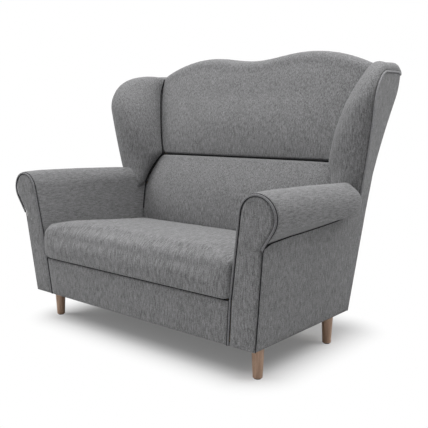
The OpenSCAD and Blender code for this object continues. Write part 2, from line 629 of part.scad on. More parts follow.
// Outside back: a panel that follows the rear of the frame, with the humped top
back_zs = rear_levels(z0, dip_z);
back_side_z = wing_z - board_front;
back_top_x = crest_x - soft_gap;
module outside_back() color(fabric) place() intersection() {
    across(-2 * outer_x, 2 * outer_x) polygon(concat([for (z = back_zs) [rear_y(z) - panel_t, z]],
        [for (k = [len(back_zs) - 1:-1:0]) [rear_y(back_zs[k]), back_zs[k]]]));
    along(0, 2 * base_d) polygon(concat(
        [for (z = [z0, knee_z, back_side_z]) [rear_x(z) - panel_t - seat_gap, z]],
        [[back_top_x, back_side_z]],
        [for (t = pad_shares) [t * back_top_x, top_z(t * crest_x) - hook_h - seat_gap]],
        [[-back_top_x, back_side_z]],
        [for (z = [back_side_z, knee_z, z0]) [-rear_x(z) + panel_t + seat_gap, z]]));
}

// Front border under the seat cushion
module front_border() color(fabric) place() intersection() {
    across(-inner_seat_x, inner_seat_x) polygon([[0, z0], [lean_y(border_z), border_z - soft_gap],
        [rail_y - seat_gap, border_z - soft_gap], [rail_y - seat_gap, z0]]);
    along(-50, 100) polygon([[-inner_x + 1, z0], [inner_x - 1, z0], [inner_seat_x - 1, border_z],
        [-inner_seat_x + 1, border_z]]);
}

// Seat cushion: crowned, with a drawn-in welt line at its foot and a soft nose over the border
seat_z = deck_z + deck_t + 2 * seat_gap + soft_gap;
corner_n = 6;
// Outline of the cushion set in by d, at a height z
function seat_outline(d, z) = let (
    hx = arm_in(z) - 1 - d, y1 = d, y2 = seat_d - d, r = max(4, 46 - d * 0.4))
    concat(
        [for (k = [0:corner_n]) let (a = 180 + 90 * k / corner_n)
            [-hx + r + r * cos(a), y1 + r + r * sin(a)]],
        [for (k = [1:9]) [-hx + r + (2 * hx - 2 * r) * k / 10, y1]],
        [for (k = [0:corner_n]) let (a = 270 + 90 * k / corner_n)
            [hx - r + r * cos(a), y1 + r + r * sin(a)]],
        [for (k = [1:3]) [hx, y1 + r + (y2 - y1 - 2 * r) * k / 4]],
        [for (k = [0:2]) let (a = 45 * k) [hx - r + r * cos(a), y2 - r + r * sin(a)]],
        [for (k = [1:9]) [hx - r - (2 * hx - 2 * r) * k / 10, y2]],
        [for (k = [0:2]) let (a = 90 + 45 * k) [-hx + r + r * cos(a), y2 - r + r * sin(a)]],
        [for (k = [1:3]) [-hx, y2 - r - (y2 - y1 - 2 * r) * k / 4]]);
function seat_ring(d, h, nose) = [for (q = seat_outline(d, seat_z + h))
    let (front = max(0, 1 - q[1] / 120), mid = 1 - pow(abs(q[0]) / (inner_seat_x + 40), 4),
        z = seat_z + h * (1 - seat_fall / (seat_edge_h + seat_crown) * max(0, q[1] - 40) / (seat_d - 40)))
    [q[0] * (arm_in(z) - 1 - d) / (arm_in(seat_z + h) - 1 - d),
        q[1] - nose * front * (0.45 + 0.55 * mid), z]];
module seat_cushion() color(fabric) place() rings([
    seat_ring(30, 0, 0), seat_ring(8, 0.5, seat_nose * 0.55), seat_ring(1, 6, seat_nose * 0.7),
    seat_ring(0, seat_edge_h * 0.3, seat_nose * 0.95), seat_ring(0, seat_edge_h * 0.6, seat_nose),
    seat_ring(2, seat_edge_h * 0.82, seat_nose * 0.9), seat_ring(10, seat_edge_h * 0.95, seat_nose * 0.72),
    seat_ring(26, seat_edge_h + 3, seat_nose * 0.4), seat_ring(60, seat_edge_h + seat_crown * 0.55, 0),
    seat_ring(120, seat_edge_h + seat_crown * 0.85, 0), seat_ring(210, seat_edge_h + seat_crown, 0)], FAN);

// Back pads, built up from cross-sections at a share s of the half width
pad_shares = [for (k = [12:-1:-12]) sin(k * 7.5)];
function crown_across(s) = pow(max(0, 1 - pow(abs(s), 3)), 0.6);
function swell(t) = t < 0.22 ? sqrt(max(0, 1 - pow(1 - t / 0.22, 2))) : 1;
function upper_half(z) = crease_x(z) - soft_gap;
function upper_section(s) = let (
    zt = top_z(s * crest_x), z1 = zt - crest_h, z2 = zt - hook_h, zb = seam_z + 1,
    yr = rear_y(z1), zf = [for (k = [0:8]) zb + (z1 - zb) * pow(k / 8, 1.3)],
    yf = [for (z = zf) crease_y(z) - upper_crown * crown_across(s) * swell((z - zb) / (z1 - zb))],
    yc = (yf[8] + yr) / 2, ry = (yr - yf[8]) / 2)
    [for (q = concat([for (k = [0:8]) [yf[k], zf[k]]],
        [for (k = [1:7]) [yc - ry * cos(k * 22.5), z1 + crest_h * sin(k * 22.5)]],
        [[yr, z1], [yr, z2], [pad_rear_y(z2), z2]],
        [for (k = [1:6]) let (z = z2 - (z2 - zb) * k / 6) [pad_rear_y(z), z]]))
        [s * upper_half(q[1]), q[0], q[1]]];

module upper_back_pad() color(fabric) place() rings([for (s = pad_shares) upper_section(s)], LADDER);

function lower_half(z) = z > roll_z ? min(arm_in(roll_z), crease_x(max(z, crease_low_z))) - soft_gap - 0.5
    : arm_in(z) - soft_gap - 0.5;
tuck_z = seat_z + seat_edge_h - seat_fall - 6;
function lower_front(z) = z < tuck_z ? seat_d + soft_gap + 1
    : seat_d + 2 + (crease_seam_y - seat_d - 2) * pow((z - tuck_z) / (seam_z - tuck_z), 1.25);
function lower_section(s) = let (zt = seam_z - 1,
    zf = concat([seat_z, tuck_z - 2], [for (k = [0:9]) tuck_z + (zt - tuck_z) * sin(k * 10)]),
    yf = [for (z = zf) lower_front(z) - (z < tuck_z ? 0 : lower_crown * crown_across(s)
        * swell((z - tuck_z) / (zt - tuck_z)) * swell((zt - z) / (zt - tuck_z)))])
    [for (q = concat([for (k = [0:11]) [yf[k], zf[k]]],
        [for (z = concat([zt], [for (k = [0:4]) knee_z - (knee_z - seat_z) * k / 4]))
            [max(pad_rear_y(z), lower_front(z) + 6), z]]))
        [s * lower_half(q[1]), q[0], q[1]]];
module lower_back_pad() color(fabric) place() rings([for (s = pad_shares) lower_section(s)], FAN);

front_rail();
rear_rail();
side_rail_left();
side_rail_right();
centre_stretcher();
corner_blocks();
seat_springs();
spring_clips();
seat_deck();
dust_cover();
arm_front_board_left();
arm_front_board_right();
arm_top_board_left();
arm_top_board_right();
arm_rear_board_left();
arm_rear_board_right();
back_post_left();
back_post_right();
back_top_rail();
back_mid_rail();
back_low_rail();
back_webbing();
wing_board_left();
wing_board_right();
leg_front_left();
leg_front_right();
leg_rear_left();
leg_rear_right();
leg_plates();
hanger_bolts();
leg_glides();
front_border();
seat_cushion();
lower_back_pad();
upper_back_pad();
arm_pad_left();
arm_pad_right();
arm_facing_left();
arm_facing_right();
facing_piping_left();
facing_piping_right();
outside_arm_left();
outside_arm_right();
wing_pad_left();
wing_pad_right();
outside_wing_left();
outside_wing_right();
wing_piping_left();
wing_piping_right();
outside_back();
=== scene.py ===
"""Two-seater wing-back sofa: the looks around its CAD solids, piece by piece as it is put together."""
import math

import bpy
import numpy as np
from mathutils import Matrix, Vector


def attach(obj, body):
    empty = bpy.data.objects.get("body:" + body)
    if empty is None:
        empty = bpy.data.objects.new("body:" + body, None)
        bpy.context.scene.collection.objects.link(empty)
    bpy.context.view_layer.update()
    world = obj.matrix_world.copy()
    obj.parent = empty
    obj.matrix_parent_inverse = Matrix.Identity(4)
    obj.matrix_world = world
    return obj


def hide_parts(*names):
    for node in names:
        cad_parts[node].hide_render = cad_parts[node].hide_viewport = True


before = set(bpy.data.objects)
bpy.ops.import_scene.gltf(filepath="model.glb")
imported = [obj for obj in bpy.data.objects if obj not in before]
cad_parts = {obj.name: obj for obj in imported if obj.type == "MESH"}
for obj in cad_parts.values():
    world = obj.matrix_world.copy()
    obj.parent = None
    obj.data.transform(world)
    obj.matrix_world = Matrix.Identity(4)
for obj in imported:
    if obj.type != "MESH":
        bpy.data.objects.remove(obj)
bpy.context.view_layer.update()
bpy.ops.object.select_all(action="DESELECT")


# The timber of the base, arms, back and wings: planed pine rails and posts, birch plywood boards
# and blocks, glued and screwed together. All of it is hidden under the covers.
def srgb(code):
    """A colour's hex code as linear RGBA."""
    parts = [int(code[i:i + 2], 16) / 255 for i in (1, 3, 5)]
    return tuple(c / 12.92 if c <= 0.04045 else ((c + 0.055) / 1.055) ** 2.4 for c in parts) + (1.0,)


def add(tree, kind, links=None, **settings):
    """A shader node with its settings, its inputs linked or set."""
    made = tree.nodes.new(kind)
    for key, value in settings.items():
        setattr(made, key, value)
    for socket, source in (links or {}).items():
        if isinstance(source, bpy.types.NodeSocket):
            tree.links.new(source, made.inputs[socket])
        else:
            made.inputs[socket].default_value = source
    return made


def start(name, roughness, **sockets):
    """A new material, its node tree and its surface shader."""
    material = bpy.data.materials.new(name)
    material.use_nodes = True
    surface = material.node_tree.nodes["Principled BSDF"]
    surface.inputs["Roughness"].default_value = roughness
    for socket, value in sockets.items():
        surface.inputs[socket.replace("_", " ")].default_value = value
    return material, material.node_tree, surface


def timber(name, early, late, ring_mm, bump_mm):
    """Planed timber: growth rings across the grain, fine fibres along X or Z."""
    material, tree, surface = start(name, 0.62, IOR=1.5)
    place = add(tree, "ShaderNodeTexCoord")
    # Along the grain the rings are drawn out to 83 mm and the 1.1 mm fibres to 17 mm
    grain = add(tree, "ShaderNodeMapping",
                {"Vector": place.outputs["Object"], "Scale": (12, 1000 / ring_mm, 12)})
    rings = add(tree, "ShaderNodeTexNoise", {"Vector": grain.outputs[0], "Scale": 1.0, "Detail": 3.0})
    fibre = add(tree, "ShaderNodeMapping", {"Vector": place.outputs["Object"], "Scale": (60, 900, 60)})
    fibres = add(tree, "ShaderNodeTexNoise", {"Vector": fibre.outputs[0], "Scale": 1.0, "Detail": 2.0})
    shade = add(tree, "ShaderNodeValToRGB", {"Fac": rings.outputs["Fac"]})
    low, high = shade.color_ramp.elements
    low.position, low.color = 0.36, srgb(early)
    high.position, high.color = 0.66, srgb(late)
    tree.links.new(shade.outputs["Color"], surface.inputs["Base Color"])
    relief = add(tree, "ShaderNodeBump",
                 {"Height": fibres.outputs["Fac"], "Strength": 0.4, "Distance": bump_mm / 1000})
    tree.links.new(relief.outputs["Normal"], surface.inputs["Normal"])
    return material


def finish_node(material, *names):
    """Give CAD nodes that keep their shape their real finish."""
    for name in names:
        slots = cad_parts[name].data.materials
        slots.clear()
        slots.append(material)


# Pine has soft yellow early wood and browner late wood, in rings about 4 mm apart
pine = timber("pine_planed", "#dcc191", "#c39f66", 4, 0.15)
finish_node(pine, "front_rail", "rear_rail", "side_rail_left", "side_rail_right", "centre_stretcher",
            "arm_top_board_left", "arm_top_board_right", "back_post_left", "back_post_right",
            "back_top_rail", "back_mid_rail", "back_low_rail")
# Birch plywood is paler, with a faint broad figure
plywood = timber("birch_plywood", "#d2b384", "#bd9a68", 9, 0.1)
finish_node(plywood, "corner_blocks", "arm_front_board_left", "arm_front_board_right",
            "arm_rear_board_left", "arm_rear_board_right", "wing_board_left", "wing_board_right")


# Zigzag springs, their clips, the leg plates and the hanger bolts: drawn and pressed steel, zinc plated,
# nailed and screwed to the rails under the seat.
steel, tree, surface = start("zinc_plated_steel", 0.38, Metallic=1.0)
place = add(tree, "ShaderNodeTexCoord")
# The zinc shows faint crystals about 4 mm across
spangle = add(tree, "ShaderNodeTexNoise", {"Vector": place.outputs["Object"], "Scale": 260.0, "Detail": 2.0})
shade = add(tree, "ShaderNodeValToRGB", {"Fac": spangle.outputs["Fac"]})
low, high = shade.color_ramp.elements
low.position, low.color = 0.3, srgb("#85888c")
high.position, high.color = 0.7, srgb("#a6a9ad")
tree.links.new(shade.outputs["Color"], surface.inputs["Base Color"])
finish_node(steel, "seat_springs", "spring_clips", "leg_plates", "hanger_bolts")


# Needled felt over the springs and woven jute-and-rubber webbing behind the back pads, both stapled to the
# frame, and the black nonwoven dust cover under the base.
def nonwoven(name, dark, light, fibre_mm):
    """Pressed fibres: a mottled matt surface with a fine random relief."""
    material, tree, surface = start(name, 0.95)
    place = add(tree, "ShaderNodeTexCoord")
    tangle = add(tree, "ShaderNodeTexNoise",
                 {"Vector": place.outputs["Object"], "Scale": 1000 / fibre_mm, "Detail": 4.0})
    shade = add(tree, "ShaderNodeValToRGB", {"Fac": tangle.outputs["Fac"]})
    low, high = shade.color_ramp.elements
    low.position, low.color = 0.35, srgb(dark)
    high.position, high.color = 0.65, srgb(light)
    tree.links.new(shade.outputs["Color"], surface.inputs["Base Color"])
    relief = add(tree, "ShaderNodeBump",
                 {"Height": tangle.outputs["Fac"], "Strength": 0.6, "Distance": 0.0006})
    tree.links.new(relief.outputs["Normal"], surface.inputs["Normal"])
    return material


felt = nonwoven("needled_felt", "#b9b3a8", "#d9d5cb", 3)
finish_node(felt, "seat_deck", "back_webbing")
dust_cloth = nonwoven("black_nonwoven", "#1e1e20", "#38383a", 2)
finish_node(dust_cloth, "dust_cover")


# Four tapered legs turned from steamed beech, sanded and clear lacquered, with nailed plastic glides.
# Beech is pinkish brown with short dark flecks a few millimetres long, and a satin coat.
beech, tree, surface = start("beech_lacquered", 0.42, IOR=1.5, Coat_Weight=0.25, Coat_Roughness=0.35)
place = add(tree, "ShaderNodeTexCoord")
# Its figure is 6 mm wide and runs 110 mm along the leg
grain = add(tree, "ShaderNodeMapping", {"Vector": place.outputs["Object"], "Scale": (160, 160, 9)})
figure = add(tree, "ShaderNodeTexNoise", {"Vector": grain.outputs[0], "Scale": 1.0, "Detail": 4.0})
shade = add(tree, "ShaderNodeValToRGB", {"Fac": figure.outputs["Fac"]})
low, high = shade.color_ramp.elements
low.position, low.color = 0.3, srgb("#b8947b")
high.position, high.color = 0.7, srgb("#d0ad93")
# The flecks stand 1.4 mm apart across the leg and 8 mm along it
fleck_place = add(tree, "ShaderNodeMapping", {"Vector": place.outputs["Object"], "Scale": (700, 700, 130)})
fleck = add(tree, "ShaderNodeTexVoronoi", {"Vector": fleck_place.outputs[0], "Scale": 1.0})
fleck_mask = add(tree, "ShaderNodeValToRGB", {"Fac": fleck.outputs["Distance"]})
low, high = fleck_mask.color_ramp.elements
low.position, low.color = 0.12, (1, 1, 1, 1)
high.position, high.color = 0.28, (0, 0, 0, 1)
flecked = add(tree, "ShaderNodeMix", {}, data_type="RGBA")
flecked.inputs[7].default_value = srgb("#9b7961")
tree.links.new(fleck_mask.outputs["Color"], flecked.inputs[0])
tree.links.new(shade.outputs["Color"], flecked.inputs[6])
tree.links.new(flecked.outputs[2], surface.inputs["Base Color"])
relief = add(tree, "ShaderNodeBump", {"Height": figure.outputs["Fac"], "Strength": 0.25, "Distance": 0.0002})
tree.links.new(relief.outputs["Normal"], surface.inputs["Normal"])
finish_node(beech, "leg_front_left", "leg_front_right", "leg_rear_left", "leg_rear_right")

# The glides are dark brown and moulded, with a faint grit of about 1 mm
glide_plastic, tree, surface = start("moulded_glide_plastic", 0.5, IOR=1.5)
place = add(tree, "ShaderNodeTexCoord")
grit = add(tree, "ShaderNodeTexNoise", {"Vector": place.outputs["Object"], "Scale": 900.0, "Detail": 2.0})
shade = add(tree, "ShaderNodeValToRGB", {"Fac": grit.outputs["Fac"]})
low, high = shade.color_ramp.elements
low.color, high.color = srgb("#2a2320"), srgb("#4a403a")
tree.links.new(shade.outputs["Color"], surface.inputs["Base Color"])
finish_node(glide_plastic, "leg_glides")


# Inside arms: each is one cover over foam, from the seat up the inner face, over the roll and under it to
# a seam along the outside. Its front edge is drawn in to the piping, and its rear end is rounded off.
def chenille(name, across, yarn="#848485", contrast=1.0):
    """Woven chenille in a grey melange. Its ribs run along the axes left out of across.
    The yarn is about 2 mm thick, too fine to show, so its ribs are drawn 3.4 mm wide and 22 mm long."""
    rib_mm, length_mm, speck_mm, cloud_mm = 3.4, 22, 3, 60
    material, tree, surface = start(name, 0.94, IOR=1.45, Specular_IOR_Level=0.15,
                                    Sheen_Weight=0.1, Sheen_Roughness=0.5)
    place = add(tree, "ShaderNodeTexCoord")
    ribs_at = add(tree, "ShaderNodeMapping", {
        "Vector": place.outputs["Object"],
        "Scale": tuple(1000 / (rib_mm if axis in across else length_mm) for axis in "xyz")})
    ribs = add(tree, "ShaderNodeTexNoise", {"Vector": ribs_at.outputs[0], "Scale": 1.0, "Detail": 1.0})
    speck = add(tree, "ShaderNodeTexNoise",
                {"Vector": place.outputs["Object"], "Scale": 1000 / speck_mm, "Detail": 1.0})
    cloud = add(tree, "ShaderNodeTexNoise",
                {"Vector": place.outputs["Object"], "Scale": 1000 / cloud_mm, "Detail": 1.0})
    both = add(tree, "ShaderNodeMath", {0: ribs.outputs["Fac"], 1: speck.outputs["Fac"]}, operation="ADD")
    soft = add(tree, "ShaderNodeMath", {0: cloud.outputs["Fac"], 1: 0.1, 2: both.outputs[0]},
               operation="MULTIPLY_ADD")
    # The sum is brought back so that its mean is a half, the yarn's own colour
    level = add(tree, "ShaderNodeMath", {0: soft.outputs[0], 1: 0.56, 2: -0.088}, operation="MULTIPLY_ADD")
    shade = add(tree, "ShaderNodeValToRGB", {"Fac": level.outputs[0]})
    base = np.array(srgb(yarn)[:3])
    low, high = shade.color_ramp.elements
    low.position, low.color = 0.3, (*(base * (1 - 0.5 * contrast)), 1)
    high.position, high.color = 0.7, (*(base * (1 + 0.5 * contrast)), 1)
    tree.links.new(shade.outputs["Color"], surface.inputs["Base Color"])
    relief = add(tree, "ShaderNodeBump", {"Height": both.outputs[0], "Strength": 0.4, "Distance": 0.0008})
    tree.links.new(relief.outputs["Normal"], surface.inputs["Normal"])
    return material


cover_upright = chenille("chenille_upright", "xy")
cover_seat = chenille("chenille_seat", "x")
cover_arm = chenille("chenille_arm", "xz", contrast=0.8)

# From here on sizes are in mm: widths from the middle, heights from the ground, and depths from the front
# of the base, which lies this far in front of the frame's origin
Y_MID = 387.085


def skin(name, sections, closed=False, wall=0.0, turn=False):
    """A grid laid over a row of sections, its rims merged and its ends filled, or given a wall in mm."""
    rows, cols = len(sections), len(sections[0]) + (1 if closed else 0)
    bpy.ops.object.select_all(action="DESELECT")
    bpy.ops.mesh.primitive_grid_add(x_subdivisions=cols - 1, y_subdivisions=rows - 1, size=1)
    piece = bpy.context.object
    piece.name = piece.data.name = name
    points = np.array([[*s, s[0]] if closed else s for s in sections], float)
    points[..., 1] -= Y_MID
    piece.data.vertices.foreach_set("co", (points / 1000).astype(np.float32).ravel())
    bpy.ops.object.mode_set(mode="EDIT")
    bpy.ops.mesh.select_all(action="SELECT")
    bpy.ops.mesh.remove_doubles(threshold=2e-5)
    if closed:
        bpy.ops.mesh.select_all(action="DESELECT")
        bpy.ops.mesh.select_non_manifold()
        bpy.ops.mesh.fill_holes(sides=0)
        bpy.ops.mesh.select_all(action="SELECT")
        bpy.ops.mesh.normals_make_consistent(inside=False)
    elif turn:
        bpy.ops.mesh.flip_normals()
    bpy.ops.object.mode_set(mode="OBJECT")
    if wall:
        shell = piece.modifiers.new("wall", "SOLIDIFY")
        shell.thickness, shell.offset = wall / 1000, -1
        bpy.ops.object.modifier_apply(modifier="wall")
    bpy.ops.object.shade_smooth()
    return piece


def twin(piece, name):
    """The left-hand copy of a right-hand piece, with its own mesh."""
    copy = piece.copy()
    copy.data = piece.data.copy()
    copy.name = copy.data.name = name
    bpy.context.collection.objects.link(copy)
    copy.data.transform(Matrix.Scale(-1, 4, (1, 0, 0)))
    copy.data.flip_normals()
    return copy


def dress(piece, material, slot, *nodes, fill=None):
    """Cover a piece, let it ride on the frame and stand for its CAD nodes."""
    piece.data.materials.clear()
    piece.data.materials.append(material)
    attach(piece, "root")
    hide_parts(*nodes)


def pair(piece, material, slot, stem, fill=None, more=()):
    """Dress a right-hand piece and its left-hand twin."""
    left = twin(piece, piece.name.replace("right", "left"))
    for side, each in (("right", piece), ("left", left)):
        dress(each, material, slot, *[f"{s}_{side}" for s in (stem, *more)], fill=fill)


# Heights of the base's underside, the deck under the cushion, the arm's neck and the kink in the back,
# and of the covers' lower hem
BASE_Z, DECK_Z, NECK_Z, KINK_Z = 113, 259, 430, 600
HEM_Z = BASE_Z + 0.5
# Half the seat's width at the base and at the deck, and the arm's flare over its height above the deck
BASE_HALF, DECK_HALF, ARM_FLARE, FLARE_H = 447, 461, 45.9, 276.2
# Width of the outside at the front and at the rear of the base and at the rear kink, and its flares
FRONT_X, FRONT_FLARE = 553, 36
REAR_X, REAR_SLOPE, KINK_X, KINK_SLOPE = 552, 0.05, 576.35, 0.094
# Depth of the base and of the kink, the rear's slopes below and above it, and the height above the kink over
# which it leans, with the softness of its end
BASE_D, KINK_Y = 574, 676.27
LOW_SLOPE, HIGH_SLOPE, HIGH_BOW = 0.21, 0.284, 0.00043
LEAN_H, LEAN_SOFT = 300, 14
# Degrees by which the front leans out
FRONT_LEAN = 3.1


def arm_in(z):
    """Half the width between the arms."""
    if z < DECK_Z:
        return BASE_HALF + (DECK_HALF - BASE_HALF) * (z - BASE_Z) / (DECK_Z - BASE_Z)
    return DECK_HALF + ARM_FLARE * (z - DECK_Z) / FLARE_H


def rear_y(z):
    """Depth of the rear: it leans a little up to the kink, more above it, and stands upright at the top."""
    if z < KINK_Z:
        return BASE_D + LOW_SLOPE * (z - BASE_Z)
    h = LEAN_H - LEAN_SOFT * math.log1p(math.exp((KINK_Z + LEAN_H - z) / LEAN_SOFT))
    return KINK_Y + HIGH_SLOPE * h + HIGH_BOW * h * h


def rear_x(z):
    """Half the width across the rear."""
    return REAR_X + REAR_SLOPE * (z - BASE_Z) if z < KINK_Z else KINK_X + KINK_SLOPE * (z - KINK_Z)


def front_x(z):
    """Half the width across the front below the neck."""
    return FRONT_X + FRONT_FLARE * (z - BASE_Z) / (NECK_Z - BASE_Z)


def side_x(y, z):
    """Half the width of the outside arm."""
    share = y / rear_y(z)
    return front_x(z) * (1 - share) + rear_x(z) * share


def lean(z):
    """How far in front of the base the leaning front is."""
    return -math.tan(math.radians(FRONT_LEAN)) * (z - BASE_Z)


def under_roll(y):
    """Height of the seam under the roll."""
    return float(np.interp(y, [-26, 8, 26, 122, 215, 330, 411, 489, 560],
                           [430, 439, 446, 452, 454, 458, 462, 467, 471]))


def bezier(a, b, c, d, t):
    """A point on the curve from a to d with the handles b and c."""
    a, b, c, d = (np.array(p, float) for p in (a, b, c, d))
    return (1 - t) ** 3 * a + 3 * t * (1 - t) ** 2 * b + 3 * t * t * (1 - t) * c + t ** 3 * d


def smooth_step(t):
    """A soft step from 0 to 1."""
    t = min(1.0, max(0.0, t))
    return t * t * (3 - 2 * t)


# Middle (width and height) and radius of the roll, and where it meets the inner face and the underside
ROLL, ROLL_R = (574.0, 524.0), 68.0
ROLL_FROM, ROLL_TO = 170.5, -20
# Depth at which the rear end starts to round off, and how far the inner face and the roll go on behind it
ROLL_END, END_FACE, END_ROLL = 437, 138, 100


def arm_line(y, tight, end=0.0):
    """One line of the arm cover, from the seat over the roll to the seam under it. It lies inside the full
    size by tight, and draws together round the rear end as end goes from 0 to 1."""
    shrink = math.sqrt(max(0.0, 1 - end * end))
    drop = float(np.interp(y, [-30, 80, 250, 450, 575], [0, 4, 1, -6, -9]))
    line = [(arm_in(z) + tight, y + end * END_FACE, z) for z in np.linspace(262, 533, 20)]
    for turn in np.linspace(ROLL_FROM, ROLL_TO, 44):
        a = math.radians(turn)
        share = smooth_step((118 - turn) / 55)
        r = (ROLL_R - tight) * (1 - share * (1 - shrink))
        fall = drop * smooth_step((170 - turn) / 60)
        depth = y + end * (END_FACE - (END_FACE - END_ROLL) * share)
        line.append((ROLL[0] + r * math.cos(a), depth, ROLL[1] + fall + r * math.sin(a)))
    last = np.array(line[-1])[[0, 2]]
    y_end = y + end * END_ROLL
    low = under_roll(y_end)
    neck = np.array([side_x(y_end, low) + 1 - tight, low])
    below, beside = last + np.array([-5, -30]) * shrink, neck + np.array([24, 20]) * shrink
    for t in np.linspace(0, 1, 13)[1:]:
        x, z = bezier(last, below, beside, neck, t)
        line.append((x, y_end, z))
    return line


# Depths at the drawn-in front edge, and how far the cover lies inside its full size there
FRONT_EDGE = [(10.2, 5.0), (11.5, 3.0), (14, 1.4), (18, 0.5), (24, 0.1)]
EDGE_Y = FRONT_EDGE[0][0]
arm_lines = []
for y, tight in FRONT_EDGE + [(y, 0) for y in range(36, 430, 17)]:
    back = (y - EDGE_Y) / (ROLL_END - EDGE_Y)
    arm_lines.append([(x, depth + lean(z) * (1 - back), z) for x, depth, z in arm_line(y, tight)])
for v in range(13):
    arm_lines.append(arm_line(ROLL_END, 0, math.sin(math.radians(v * 7.5))))
arm_cover = skin("arm_cover_right", arm_lines, wall=9)
pair(arm_cover, cover_arm, "upholstery", "arm_pad", fill=0.9)


# Arm facings: a padded plywood shape covered in the same cloth, pressed on from the front. The cover is
# pulled tight over its edge, so its face swells a little.

# Width of the facing's neck, and where its curve meets the roll and how far above the neck that is
NECK_X, UNDER_X, UNDER_H = 590, 629.2, 54.2
# Low down the outer edge is set in by this at most
LOW_INSET = 2.5
# Depth of the facing's rim, and how far its face stands out from it
FACING_Y, FACING_SWELL = 9.5, 7.2


def facing_side(z, inset, inner):
    """Width of the facing's inner or outer edge at height z."""
    r = ROLL_R - inset
    half_roll = math.sqrt(max(0.0, r * r - (z - ROLL[1]) ** 2))
    if inner:
        return arm_in(z) + inset if z < 535 else ROLL[0] - half_roll
    if z > 484:
        return ROLL[0] + half_roll
    if z > NECK_Z:
        return NECK_X + (UNDER_X - NECK_X) * (z - NECK_Z) / UNDER_H - inset
    return front_x(z) - min(inset, LOW_INSET + max(0.0, (z - 400) / 30 * (inset - LOW_INSET)))


def facing_rows(inset):
    """The facing's face in rows from the hem to the top of the roll."""
    top = ROLL[1] + ROLL_R - inset
    rows = []
    heights = np.concatenate([np.linspace(HEM_Z, NECK_Z, 26), np.linspace(438, 560, 16),
                              560 + (top - 560) * np.sin(np.radians(np.linspace(8, 90, 12)))])
    for z in heights:
        a, b = facing_side(z, inset, True), facing_side(z, inset, False)
        row = []
        for u in (1 - np.cos(np.linspace(0, math.pi, 25))) / 2:
            x = a + (b - a) * u
            near = min(x - a, b - x, z - 112, top - z + 0.01)
            out = FACING_SWELL * (1 - math.exp(-max(0.0, near) / 7)) ** 0.7
            row.append((x, FACING_Y - out + lean(z), z))
        rows.append(row)
    return rows


facing = skin("arm_facing_cover_right", facing_rows(8.6), wall=3.5)
pair(facing, cover_upright, "upholstery", "arm_facing")


# Self-piping: a cord in a bias strip of the same cloth, about 7 mm thick together, sewn between facing and
# cover. It runs up the inner edge and over the roll to the neck.
piping_cloth = chenille("chenille_bias_piping", "xyz", yarn="#838385", contrast=0.5)


def tube(name, path, radius):
    """A round cord along a path, made a mesh with closed ends."""
    curve = bpy.data.curves.new(name, "CURVE")
    curve.dimensions, curve.use_fill_caps = "3D", True
    curve.bevel_depth, curve.bevel_resolution = radius / 1000, 3
    line = curve.splines.new("POLY")
    line.points.add(len(path) - 1)
    for point, (x, y, z) in zip(line.points, path):
        point.co = (x / 1000, (y - Y_MID) / 1000, z / 1000, 1)
    cord = bpy.data.objects.new(name, curve)
    bpy.context.collection.objects.link(cord)
    bpy.ops.object.select_all(action="DESELECT")
    cord.select_set(True)
    bpy.context.view_layer.objects.active = cord
    bpy.ops.object.convert(target="MESH")
    cord = bpy.context.object
    cord.name = cord.data.name = name
    bpy.ops.object.mode_set(mode="EDIT")
    bpy.ops.mesh.select_all(action="SELECT")
    bpy.ops.mesh.remove_doubles(threshold=1e-6)
    bpy.ops.object.mode_set(mode="OBJECT")
    bpy.ops.object.shade_smooth()
    return cord


def arm_edge(inset):
    """The arm's front outline from the inner foot over the roll to the neck."""
    edge = [(arm_in(z) + inset, z) for z in np.linspace(115, 533, 40)]
    edge += [(ROLL[0] + (ROLL_R - inset) * math.cos(a), ROLL[1] + (ROLL_R - inset) * math.sin(a))
             for a in np.radians(np.linspace(ROLL_FROM, -35.8, 60))]
    end = (NECK_X - inset * 0.6, NECK_Z)
    edge += [(edge[-1][0] + (end[0] - edge[-1][0]) * t, edge[-1][1] + (end[1] - edge[-1][1]) * t)
             for t in np.linspace(0, 1, 12)[1:]]
    return edge


piping = tube("facing_cord_right", [(x, 5.6 + lean(z), z) for x, z in arm_edge(4.6)], 3.6)
pair(piping, piping_cloth, "piping", "facing_piping")


# Seams: where two covers meet they are sewn and pulled in to a fold, whose shade shows as a thin dark line.
# That shade is painted: dark grey tubes are laid in the folds. Here they run round the facings, up the
# corners and round the front border. Those under the rolls and between the pads come with the pieces that
# they join.
# The dark grey of the seam lines is painted shade for the folds, not the colour of the sewing
seam_shade, tree, surface = start("painted_seam_shade", 0.8, IOR=1.5, Specular_IOR_Level=0.1)
place = add(tree, "ShaderNodeTexCoord")
# The painted shade carries a fine mottle about 1 mm long, like the twist of sewing yarn
twist = add(tree, "ShaderNodeTexNoise", {"Vector": place.outputs["Object"], "Scale": 1000.0, "Detail": 1.0})
shade = add(tree, "ShaderNodeValToRGB", {"Fac": twist.outputs["Fac"]})
low, high = shade.color_ramp.elements
low.color, high.color = srgb("#161617"), srgb("#2c2c2e")
tree.links.new(shade.outputs["Color"], surface.inputs["Base Color"])


def seam_shade_tube(name, path, radius, both_sides=True):
    """Painted shade: a dark tube sunk in the fold between two covers, on the right and, if wanted, on the
    left too.
    It is drawn much thicker than the sewing yarn, as wide as the dark line of the fold's shade that it stands
    for."""
    line = tube(name, path, radius)
    for each in (line, twin(line, name.replace("right", "left"))) if both_sides else (line,):
        each.data.materials.clear()
        each.data.materials.append(seam_shade)
        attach(each, "root")


